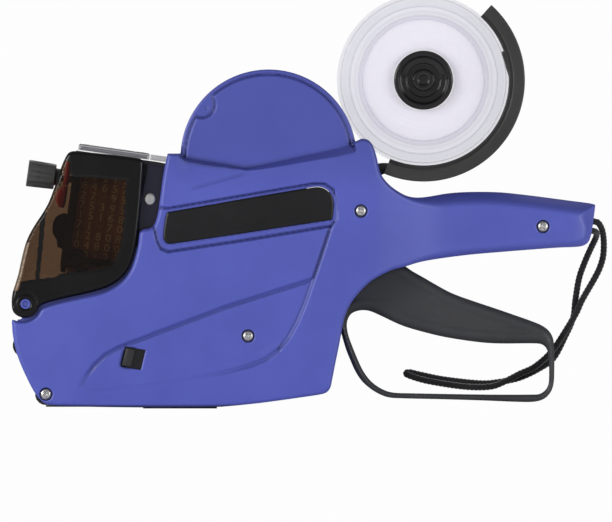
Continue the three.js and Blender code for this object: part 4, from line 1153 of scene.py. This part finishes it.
def build_feed():
    """Pinion driven by the sector, and the eight-point feed wheel."""
    pinion = flat_piece([gear_points(FEED_CENTER, 10.29, 10, 55.3)], [(FEED_CENTER, AXLE_BORE)],
                        1.6, 0.3, 0.35, (-6, 21, 12, 40))
    hub = sleeve(FEED_CENTER, AXLE_BORE, 4.5, -9.6, -7.2, 0.2, 36)
    piece("pinion", join([shift(pinion, -11.0), hub]), "feed_gear", "nylon", "feed_gear",
          angle=40, recalc=True)

    star = [polar(FEED_CENTER, radius, i * 45 + offset) for i in range(8)
            for radius, offset in ((12.6, -14), (14.4, -4), (14.4, 4), (12.6, 14))]
    flat, depth = sheet(smooth(star, sharp=80), (-8, 23, 10, 42), 0.4, (FEED_CENTER, AXLE_BORE))
    r = away(FEED_CENTER, *flat[0].T)
    half = (5.0 - soft_edge(depth, 0.5, 0.8)
            - 3.6 * ease((r - 4.6) / 0.5) * ease((10.9 - r) / 0.5) + 1.6 * ease((4.6 - r) / 0.4))
    piece("feed_star", slab(*flat, half), "feed_wheel", "nylon", "feed_wheel", angle=40)


def build_return_spring():
    x, z = TRIGGER_PIVOT
    radius, y, rise, steps = 4.0, 9.4, 3.0, 96
    points = [(x + 10.5, y, z - 4.4)]
    for i in range(steps + 1):
        angle = math.radians(-70) + (i / steps) * math.radians(360 * 3 + 150)
        points.append((x + radius * math.cos(angle), y + rise * i / steps,
                       z + radius * math.sin(angle)))
    points.append((x + 3.4, 12.6, z + 11.5))
    piece("return_spring", tube(points, 0.4, 10, 0.5), "root", "steel", "trigger_spring",
          angle=60)


def build_wrist_cord():
    def braid(angle, along):
        return 1.27 + 0.16 * np.cos(4 * angle + along * 1.9) * np.cos(4 * angle - along * 1.9)

    cord = tube(CORD, braid, 16, 0.32)
    piece("wrist_cord", cord, "root", "cord", "wrist_strap", angle=None)


# ----------------------------------------------------------------- front cover
def build_front_cover():
    outline = smooth(COVER, sharp=60, step=0.5)
    panel = smooth(PANEL, sharp=60)

    def cover_field(x, z):
        return field(outline, x, z)

    def region(x, z):
        return np.minimum(cover_field(x, z), away(COVER_PIVOT, x, z) - COVER_BORE)

    points, faces, edges = contour(region, (-72, -14, 36.5, 109.5), 0.45)
    # pull the outer rim exactly onto the outline
    rim_ids = np.unique(np.array(edges))
    rim_ids = rim_ids[away(COVER_PIVOT, *points[rim_ids].T) > 3.0]
    for _ in range(2):
        x, z = points[rim_ids, 0], points[rim_ids, 1]
        offset = cover_field(x, z)
        dx, dz, norm = gradient(cover_field, x, z, 0.1)
        norm = np.maximum(norm, 0.05)
        points[rim_ids, 0] -= offset * dx / norm
        points[rim_ids, 1] -= offset * dz / norm

    inner, depth = inward(cover_field, points, 1.6)
    x, z = points[:, 0], points[:, 1]
    y_out = 21.8 - soft_edge(np.clip(depth, 0, None), 1.1, 1.5)
    # shallow ring and softened bore at the hinge, groove round the panel
    boss = away(COVER_PIVOT, x, z)
    y_out = y_out - 0.35 * ease((1.5 - np.abs(boss - 4.6)) / 1.2) * (boss < 5.0)
    y_out = y_out - 0.25 * np.clip(1 - np.abs(boss - COVER_BORE) / 0.6, 0, 1)
    y_out = y_out - groove(field(panel, x, z), 0.22, 0.5)
    # the front wall closes on the middle low down and stops short of it above
    on_edge = np.abs(depth) < 0.35
    rim = np.where(on_edge & (line_distance(COVER_FRONT_OPEN, x, z) < 0.8), 13.8, 20.14)
    closed = on_edge & (line_distance(COVER_FRONT_CLOSED, x, z) < 0.8) & (z < 69.9)
    rim = np.where(closed, 0.0, rim)
    half = skin(points, faces, edges, y_out, 20.2, rim, inner)
    vertices, faces = join([half, mirror(half)])

    x, _, z = np.array([vertices[face].mean(0) for face in faces]).T
    window = (field(panel, x, z) > 0) & (line_distance(PANEL_RIB, x, z) > 0.95)
    front = (line_distance(COVER_FRONT_CLOSED, x, z) < 2.2) & (z > 49.5)
    cover = piece("cover_smoked", (vertices, faces), "front_cover", "mask smoke", "front_cover",
                  angle=None, face_looks=np.where(window | front, 1, 0))
    # weld the two halves where they meet
    mesh = cover.data
    bm = bmesh.new()
    bm.from_mesh(mesh)
    middle = [vertex for vertex in bm.verts if abs(vertex.co.y) < 1e-6]
    bmesh.ops.remove_doubles(bm, verts=middle, dist=1e-5)
    bmesh.ops.dissolve_degenerate(bm, edges=bm.edges, dist=1e-8)
    bm.to_mesh(mesh)
    bm.free()
    mesh.shade_smooth()
    mesh.set_sharp_from_angle(angle=math.radians(45))


# ------------------------------------------------------- print head, arm level
def build_knob(tag, side):
    def flutes(r, x, angle):
        if r < 3.7:
            return r
        fluted = ease((x + 64.4) / 1.2) * ease((-53.6 - x) / 0.8)
        wave = 0.5 + 0.5 * math.cos(12 * angle)
        return r - 0.62 * (1 - wave ** 0.6) * fluted

    profile = [(0, -64.0), (3.4, -64.0), (3.9, -64.9), (5.62, -64.9), (5.5, -60.0), (5.3, -53.2),
               (3.6, -53.2), (3.6, -50.6), (1.52, -50.6), (1.52, -62.2), (0, -62.2)]
    knob = lathe((side * KNOB_Y, KNOB_Z), rounded(profile, 0.45), seg=144, along_x=True,
                 wobble=flutes)
    arm_piece("knob_fluted_" + tag, knob, "knob_" + tag, "knob", "knob_" + tag, angle=40)


def glyph_parts(tag, characters):
    """Extruded outlines of the characters, centred, at text size 1."""
    text = bpy.data.curves.new("digits_" + tag, "FONT")
    text.extrude = 0.035
    text.resolution_u = 2
    holder = bpy.data.objects.new("digits_tmp_" + tag, text)
    bpy.context.scene.collection.objects.link(holder)
    parts = {}
    for character in sorted(characters):
        text.body = character
        bpy.context.view_layer.update()
        evaluated = holder.evaluated_get(bpy.context.evaluated_depsgraph_get())
        mesh = bpy.data.meshes.new_from_object(evaluated)
        points = np.array([vertex.co for vertex in mesh.vertices])
        low, high = points.min(0), points.max(0)
        middle = [(low[0] + high[0]) / 2, (low[1] + high[1]) / 2, 0]
        parts[character] = (points - middle, [list(face.vertices) for face in mesh.polygons])
        bpy.data.meshes.remove(mesh)
    bpy.data.objects.remove(holder)
    return parts


def build_digits(tag, side):
    """Digits moulded on the type bands: six bands of nine."""
    rng = np.random.RandomState(11 + (side > 0))
    cells = []
    for column in range(6):
        for row in range(9):
            dot = column == 2 and row % 3 == 0
            cells.append((column, row, "." if dot else str(rng.randint(0, 10))))
    glyphs = glyph_parts(tag, {cell[2] for cell in cells})
    size, rise = 4.9, 4.2 * 0.6
    parts = []
    for column, row, character in cells:
        points, faces = glyphs[character]
        x = -42.6 + 4.3 * (column + 0.5) - side * points[:, 0] * size
        y = side * (12.2 + points[:, 2] * rise)
        z = 48.6 + 4.15 * row + points[:, 1] * size
        parts.append((np.stack([x, y, z], 1), faces))
    arm_piece("band_digits_" + tag, join(parts), "print_arm", "digit", angle=30)


def build_head_side(tag, side):
    """Bracket on the front of the head, red pointer finger, rivet and cheek plate."""
    cad_tag = "left" if side < 0 else "right"
    bracket = smooth([(-45.7, 64.6), (-47.6, 64.6), (-50.4, 62.8), (-51.4, 60.4), (-50.9, 55.6),
                      (-49.0, 53.4), (-48.2, 50.4), (-45.7, 49.4)], sharp=35)
    part = flat_piece([bracket], [], 3.6, 0.6, 0.4, (-53, -44, 48, 66))
    arm_piece("head_bracket_" + tag, shift(part, side * 8.2), "print_arm", "black", angle=45)

    finger = smooth([(-47.3, 76.1), (-49.9, 76.1), (-50.2, 75.0), (-51.6, 73.2), (-51.8, 70.2),
                     (-50.0, 67.0), (-47.8, 66.8), (-47.3, 69.0)], sharp=40)
    part = flat_piece([finger], [], 2.7, 0.5, 0.35, (-53, -46, 65, 78))
    arm_piece("pointer_finger_" + tag, shift(part, side * KNOB_Y), "selector_" + tag, "red",
              angle=45)

    rivet = lathe(RIVET, rounded([(0, 14.9), (1.0, 14.9), (1.0, 17.9), (2.42, 17.9),
                                  (2.4, 18.12), (2.0, 18.38), (1.3, 18.48), (0.85, 18.42),
                                  (0.4, 18.38), (0, 18.38)], 0.2), seg=48)
    arm_piece("rivet_head_" + tag, on_side(rivet, side, built=1), "print_arm", "zinc",
              "rivet_" + cad_tag, angle=50)

    cheek = smooth([(-15.8, 90.4), (-2.6, 89.6), (-2.6, 61.6), (-4.2, 59.6), (-9.0, 58.0),
                    (-15.8, 62.0)], sharp=70)
    flat, depth = sheet(cheek, (-16.8, -1.5, 57, 91.5), 0.45, (RIVET, 1.1))
    part = slab(*flat, 0.75 - soft_edge(depth, 0.3, 0.7))
    arm_piece("cheek_" + tag, shift(part, side * 17.05), "print_arm", "navy",
              "head_side_plate_" + cad_tag, angle=50)


def build_head_sides():
    for tag, side in NEAR_FAR:
        build_knob(tag, side)
        build_digits(tag, side)
        build_head_side(tag, side)


def ribbed_lid(x0, x1, half):
    """Lid plate with shallow ribs along x, thick only near its edges."""
    columns, rows = 62, 50
    X, Y = np.meshgrid(np.linspace(x0, x1, columns), np.linspace(-half, half, rows),
                       indexing="ij")
    margin = np.minimum(np.minimum(X - x0, x1 - X), np.minimum(Y + half, half - Y))
    top_z = 94.7 - soft_edge(margin, 0.7, 1.1) - 0.12 * (1 - np.cos(Y * 2 * math.pi / 3.1)) * 0.5
    bottom_z = np.where(margin > 1.3, 93.5, 91.85)
    vertices = np.concatenate([np.stack([X, Y, z], -1).reshape(-1, 3)
                               for z in (top_z, bottom_z)])
    under = columns * rows
    faces = []
    for i in range(columns - 1):
        for j in range(rows - 1):
            a, b = i * rows + j, (i + 1) * rows + j
            faces.append([a, b, b + 1, a + 1])
            faces.append([under + a + 1, under + b + 1, under + b, under + a])
    for i in range(columns - 1):
        a, b = i * rows, (i + 1) * rows
        faces.append([under + a, under + b, b, a])
        a, b = a + rows - 1, b + rows - 1
        faces.append([a, b, under + b, under + a])
    for j in range(rows - 1):
        faces.append([j, j + 1, under + j + 1, under + j])
        a = (columns - 1) * rows + j
        faces.append([under + a, under + a + 1, a + 1, a])
    return vertices, faces


def build_head_lid():
    half = 12.4
    parts = [ribbed_lid(-45.2, -15.0, half)]
    block = [(-14.7, 91.85), (-5.8, 91.85), (-5.8, 94.2), (-14.7, 94.2)]
    parts.append(flat_piece([block], [], half, 0.5, 0.35, (-16, -5, 91, 95)))
    for y in (-12.42, 12.42):             # beads along the lid sides
        for z in (92.55, 93.45):
            parts.append(tube([(-44.6, y, z), (-30.0, y, z), (-15.6, y, z)], 0.2, 8, 2.0))
    arm_piece("head_lid", join(parts), "print_arm", "clear", "head_window", angle=40)


def build_ink_roller():
    felt = sleeve(INK_ROLLER, 2.0, 3.5, -12.2, 12.2, 0.5, 60)
    arm_piece("ink_felt_roller", felt, "ink_roller", "felt", "ink_roller", angle=50)


# ----------------------------------------------------------------- roll holder
def bow_rib(start, end, angles, radii):
    """Outline of a rib inside the bow; radii over angles gives its inner edge."""
    outer = arc(ROLL_CENTER, 38.4, np.linspace(start, end, 30))
    return outer + [polar(ROLL_CENTER, np.interp(a, angles, radii), a)
                    for a in np.linspace(end, start, 30)]


def build_bow():
    profile = [(37.6, -19), (42.6, -19), (42.6, 19), (37.6, 19), (37.6, 17.2), (40.9, 17.2),
               (40.9, 12.4), (35.8, 12.4), (35.8, 10.2), (40.9, 10.2), (40.9, -10.2),
               (35.8, -10.2), (35.8, -12.4), (40.9, -12.4), (40.9, -17.2), (37.6, -17.2)]
    parts = [lathe(ROLL_CENTER, rounded(profile, 0.7), seg=150, span=(-113, 48))]
    upper = bow_rib(-9, 20, [-9, -3, 8, 18, 20], [38.0, 36.6, 35.0, 34.6, 34.8])
    lower = bow_rib(-109, -84, [-109, -106, -97, -89, -84], [36.9, 36.2, 36.3, 37.3, 38.0])
    for outline, box in ((upper, (135, 143, 128, 153)), (lower, (86, 108, 97, 105))):
        rib = flat_piece([outline], [], 1.0, 0.4, 0.35, box)
        parts += [shift(rib, -11.3), shift(rib, 11.3)]
    x, z = HOLDER_HINGE
    lug = smooth([
        (x - 3.0, z + 1.2), (x - 0.5, z + 3.2), polar(ROLL_CENTER, 37.8, -112.6),
        polar(ROLL_CENTER, 39, -104), polar(ROLL_CENTER, 42.4, -106),
        polar(ROLL_CENTER, 42.5, -112.6), (x + 1.0, z - 3.2), (x - 2.6, z - 2.0)], sharp=70)
    eye = circle(HOLDER_HINGE, 3.3, 40)
    parts.append(flat_piece([lug, eye], [(HOLDER_HINGE, AXLE_BORE)], 12.4, 0.6, 0.4,
                            (76, 96, 93, 106)))
    piece("holder_bow", join(parts), "roll_holder", "bow", "holder_arc", angle=40, recalc=True)


def build_discs_and_hubs():
    """Side discs with concentric steps, and the cup-shaped hubs in them."""
    disc_profile = [
        (11.35, 8.55), (36.3, 8.55), (36.3, 9.9), (34.9, 9.9), (34.5, 9.3), (32.6, 9.3),
        (32.3, 9.6), (31.2, 9.6), (30.9, 9.2), (29.0, 9.2), (28.7, 9.55), (27.7, 9.55),
        (27.4, 9.2), (13.2, 9.2), (12.9, 9.45), (11.35, 9.45)]
    hub_profile = [
        (0, 0.4), (11.0, 0.4), (11.0, 10.12), (12.4, 10.12), (12.4, 11.2), (11.9, 11.7),
        (10.3, 11.7), (9.9, 10.6), (9.5, 6.4), (7.2, 6.2), (7.0, 5.7), (4.6, 5.7), (4.4, 7.3),
        (3.4, 7.5), (2.2, 7.3), (2.0, 6.2), (0, 6.2)]
    disc = lathe(ROLL_CENTER, rounded(disc_profile, 0.16, 2), seg=160)
    hub = lathe(ROLL_CENTER, rounded(hub_profile, 0.25), seg=112)
    for tag, side in LEFT_RIGHT:
        piece("side_disc_" + tag, on_side(disc, side, built=1), "roll_holder", "disc",
              "holder_disc_" + tag, angle=40, recalc=True)
        piece("hub_cup_" + tag, on_side(hub, side, built=1), "roll_holder", "hub",
              "hub_" + tag, angle=42, recalc=True)


def build_label_roll():
    core = sleeve(ROLL_CENTER, 11.4, 12.45, -8.0, 8.0, 0.15, 112, steps=2)
    piece("card_core", core, "label_roll", "card", "roll_core", angle=40, recalc=True)

    def outer_turn(r, y, angle):
        """The paper grows by one layer over the last turn."""
        return r + (0.10 * (angle / (2 * math.pi)) if r > 25 else 0.0)

    rng = np.random.RandomState(4)
    face = [(r, 8.0 - 0.07 * rng.rand()) for r in np.arange(13.0, 25.4, 0.62)]
    profile = [(12.75, -7.9), *((r, -y) for r, y in face), (25.5, -7.9), (25.6, -7.6),
               (25.6, 7.6), (25.5, 7.9), *reversed(face), (12.75, 7.9)]
    roll = lathe(ROLL_CENTER, profile, seg=160, wobble=outer_turn)
    piece("paper_roll", roll, "label_roll", "paper", "label_roll", angle=50, recalc=True)


# ---------------------------------------------------------- rollers and latch
def build_rollers():
    def ribbed(r, y, angle):
        return r - (0.10 * (0.5 + 0.5 * math.cos(angle * 24)) if r > 4.5 else 0)

    applicator = sleeve(APPLICATOR, 1.62, 5.0, -16.8, 16.8, 0.6, 72, wobble=ribbed)
    pressure = sleeve(PRESSURE_ROLLER, 1.4, 3.8, -8.4, 8.4, 0.4, 60)
    for name, tyre in (("applicator", applicator), ("pressure", pressure)):
        roller = name + "_roller"
        piece(name + "_tyre", tyre, roller, "rubber", roller, angle=40, recalc=True)


def build_latch_skirts():
    """Thin black sheet carried by the latch slide that fills its slot from behind: it blocks the
    view through, and its black is painted shade for the dark of the open slot.
    """
    outline = smooth([(-27.4, 15.2), (-12.4, 14.2), (-11.4, 26.6), (-26.2, 27.8)], sharp=20)
    flat, _ = sheet(outline, (-29, -10, 13, 29), 0.5)
    slot_shade = skin(*flat, 19.6, 18.8, 18.75)
    for tag, side in LEFT_RIGHT:
        piece("latch_skirt_" + tag, on_side(slot_shade, side), "latch", "black", angle=40,
              recalc=True)


# ------------------------------------------- CAD pieces that keep their shape
# name: look, bevel width
KEPT = {
    "trigger_pin": ("steel", 0.2), "feed_axle": ("steel", 0.2),
    "holder_hinge_pin": ("steel", 0.2), "applicator_axle": ("steel", 0.2),
    "pressure_axle": ("steel", 0.15), "drive_pin": ("steel", 0.2),
    "peel_plate": ("steel", 0.12), "platen": ("grey", 0.35), "print_arm": ("arm", 0.35),
    "head_housing": ("black", 0.35), "type_bands_near": ("band", 0.12),
    "type_bands_far": ("band", 0.12), "type_bridge_near": ("arm", 0.3),
    "type_bridge_far": ("arm", 0.3), "pointer_near": ("red", 0.35),
    "pointer_far": ("red", 0.35), "selector_shaft_near": ("steel", 0.15),
    "selector_shaft_far": ("steel", 0.15), "ink_arm": ("black", 0.2),
    "ink_roller_core": ("nylon", 0.1), "bottom_cover": ("black", 0.3),
    "latch_slide": ("black", 0.35),
}
KEPT_ANGLE = math.radians(32)


def dress_kept_pieces():
    for name, (look, width) in KEPT.items():
        kept = NODES[name]
        mesh = kept.data
        mesh.materials.clear()
        mesh.materials.append(LOOKS[look])
        mesh.polygons.foreach_set("material_index", np.zeros(len(mesh.polygons), np.int32))
        weld = kept.modifiers.new("weld", "WELD")
        weld.merge_threshold = 0.00001
        bevel = kept.modifiers.new("soft_edges", "BEVEL")
        bevel.width = width * MM
        bevel.segments = 2
        bevel.limit_method = "ANGLE"
        bevel.angle_limit = KEPT_ANGLE
        bevel.harden_normals = False
        bevel.use_clamp_overlap = True
        mesh.shade_smooth()
        mesh.set_sharp_from_angle(angle=KEPT_ANGLE)


# ------------------------------------------------------------- stage and light
def build_floor():
    """Pale floor that drops under the bottom cover when that hangs open."""
    mesh = bpy.data.meshes.new("floor")
    mesh.from_pydata([(-3, -3, 0), (3, -3, 0), (3, 3, 0), (-3, 3, 0)], [], [(0, 1, 2, 3)])
    floor = bpy.data.objects.new("floor", mesh)
    bpy.context.scene.collection.objects.link(floor)
    floor.location = (0, 0, -0.0004)
    material, tree, coords = new_material("pale_floor")
    mottle = ramp(tree, noise(tree, coords, scale=3.0, detail=3.0),
                  [(0.3, (0.88, 0.88, 0.885)), (0.7, (0.93, 0.93, 0.93))])
    surface = node(tree, "BsdfPrincipled", {"Roughness": 0.7, "Base Color": mottle})
    node(tree, "OutputMaterial", {"Surface": surface})
    mesh.materials.append(material)
    touch = bpy.data.objects.new("floor_touch", None)
    bpy.context.scene.collection.objects.link(touch)
    touch.location = (0.018, 0, 0.0003)
    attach(touch, "bottom_cover")
    drop = floor.constraints.new("COPY_LOCATION")
    drop.target = touch
    drop.use_x = drop.use_y = False
    cap = floor.constraints.new("LIMIT_LOCATION")
    cap.use_max_z = True
    cap.max_z = -0.0004


def build_world():
    """Near-white to the camera, a soft grey gradient as light."""
    world = bpy.data.worlds.new("studio")
    bpy.context.scene.world = world
    world.use_nodes = True
    tree = world.node_tree
    tree.nodes.clear()
    height = up_part(tree, node(tree, "TexCoord").outputs["Generated"])
    sky = ramp(tree, map_range(tree, height, low=-1.0, high=1.0), [
        (0.0, (0.62, 0.62, 0.62)), (0.35, (0.86, 0.86, 0.88)), (0.6, (0.86, 0.86, 0.88)),
        (0.8, (0.42, 0.42, 0.44)), (1.0, (0.30, 0.30, 0.32))])
    light = node(tree, "Background", {"Color": sky, "Strength": 0.42})
    seen = node(tree, "Background", {"Color": (0.985, 0.985, 0.985, 1), "Strength": 1.0})
    camera_ray = node(tree, "LightPath").outputs["Is Camera Ray"]
    node(tree, "OutputWorld", {"Surface": mix_shader(tree, camera_ray, light, seen)})


def softbox(name, where, target, size, watts):
    data = bpy.data.lights.new(name, "AREA")
    data.shape = "RECTANGLE"
    data.size, data.size_y = size
    data.energy = watts
    light = bpy.data.objects.new(name, data)
    bpy.context.scene.collection.objects.link(light)
    light.location = where
    aim = Vector(target) - Vector(where)
    light.rotation_euler = aim.to_track_quat("-Z", "Y").to_euler()


def build_lights():
    middle = (0.05, 0, 0.06)
    softbox("key", (-0.95, -0.85, 0.42), target=(0.05, 0, 0.07), size=(0.6, 0.6), watts=9.0)
    softbox("fill", (1.05, -0.85, 0.30), target=middle, size=(0.6, 0.6), watts=5.0)
    softbox("top", (0.1, 0.30, 1.1), target=middle, size=(0.9, 0.6), watts=0.9)
    softbox("back", (0.3, 1.1, 0.6), target=middle, size=(0.8, 0.6), watts=4.0)


def build_camera():
    data = bpy.data.cameras.new("camera")
    camera = bpy.data.objects.new("camera", data)
    bpy.context.scene.collection.objects.link(camera)
    data.type = "ORTHO"
    data.ortho_scale = 0.25704
    data.clip_end = 20
    camera.location = (0.05292, -1.2, 0.06195)
    camera.rotation_euler = (math.radians(90), 0, 0)
    scene = bpy.context.scene
    scene.camera = camera
    scene.view_settings.view_transform = "Standard"
    scene.view_settings.look = "None"
    scene.view_settings.exposure = 0.0
    scene.view_settings.gamma = 1.0


for build in (
    build_shells, build_shell_lips, build_cover_hinges, build_badges, build_screws,
    build_trigger_blade, build_trigger_sector, build_feed, build_return_spring,
    build_wrist_cord, build_front_cover, build_head_sides, build_head_lid, build_ink_roller,
    build_bow, build_discs_and_hubs, build_label_roll, build_rollers, build_latch_skirts,
    dress_kept_pieces, build_floor, build_world, build_lights, build_camera,
):
    build()
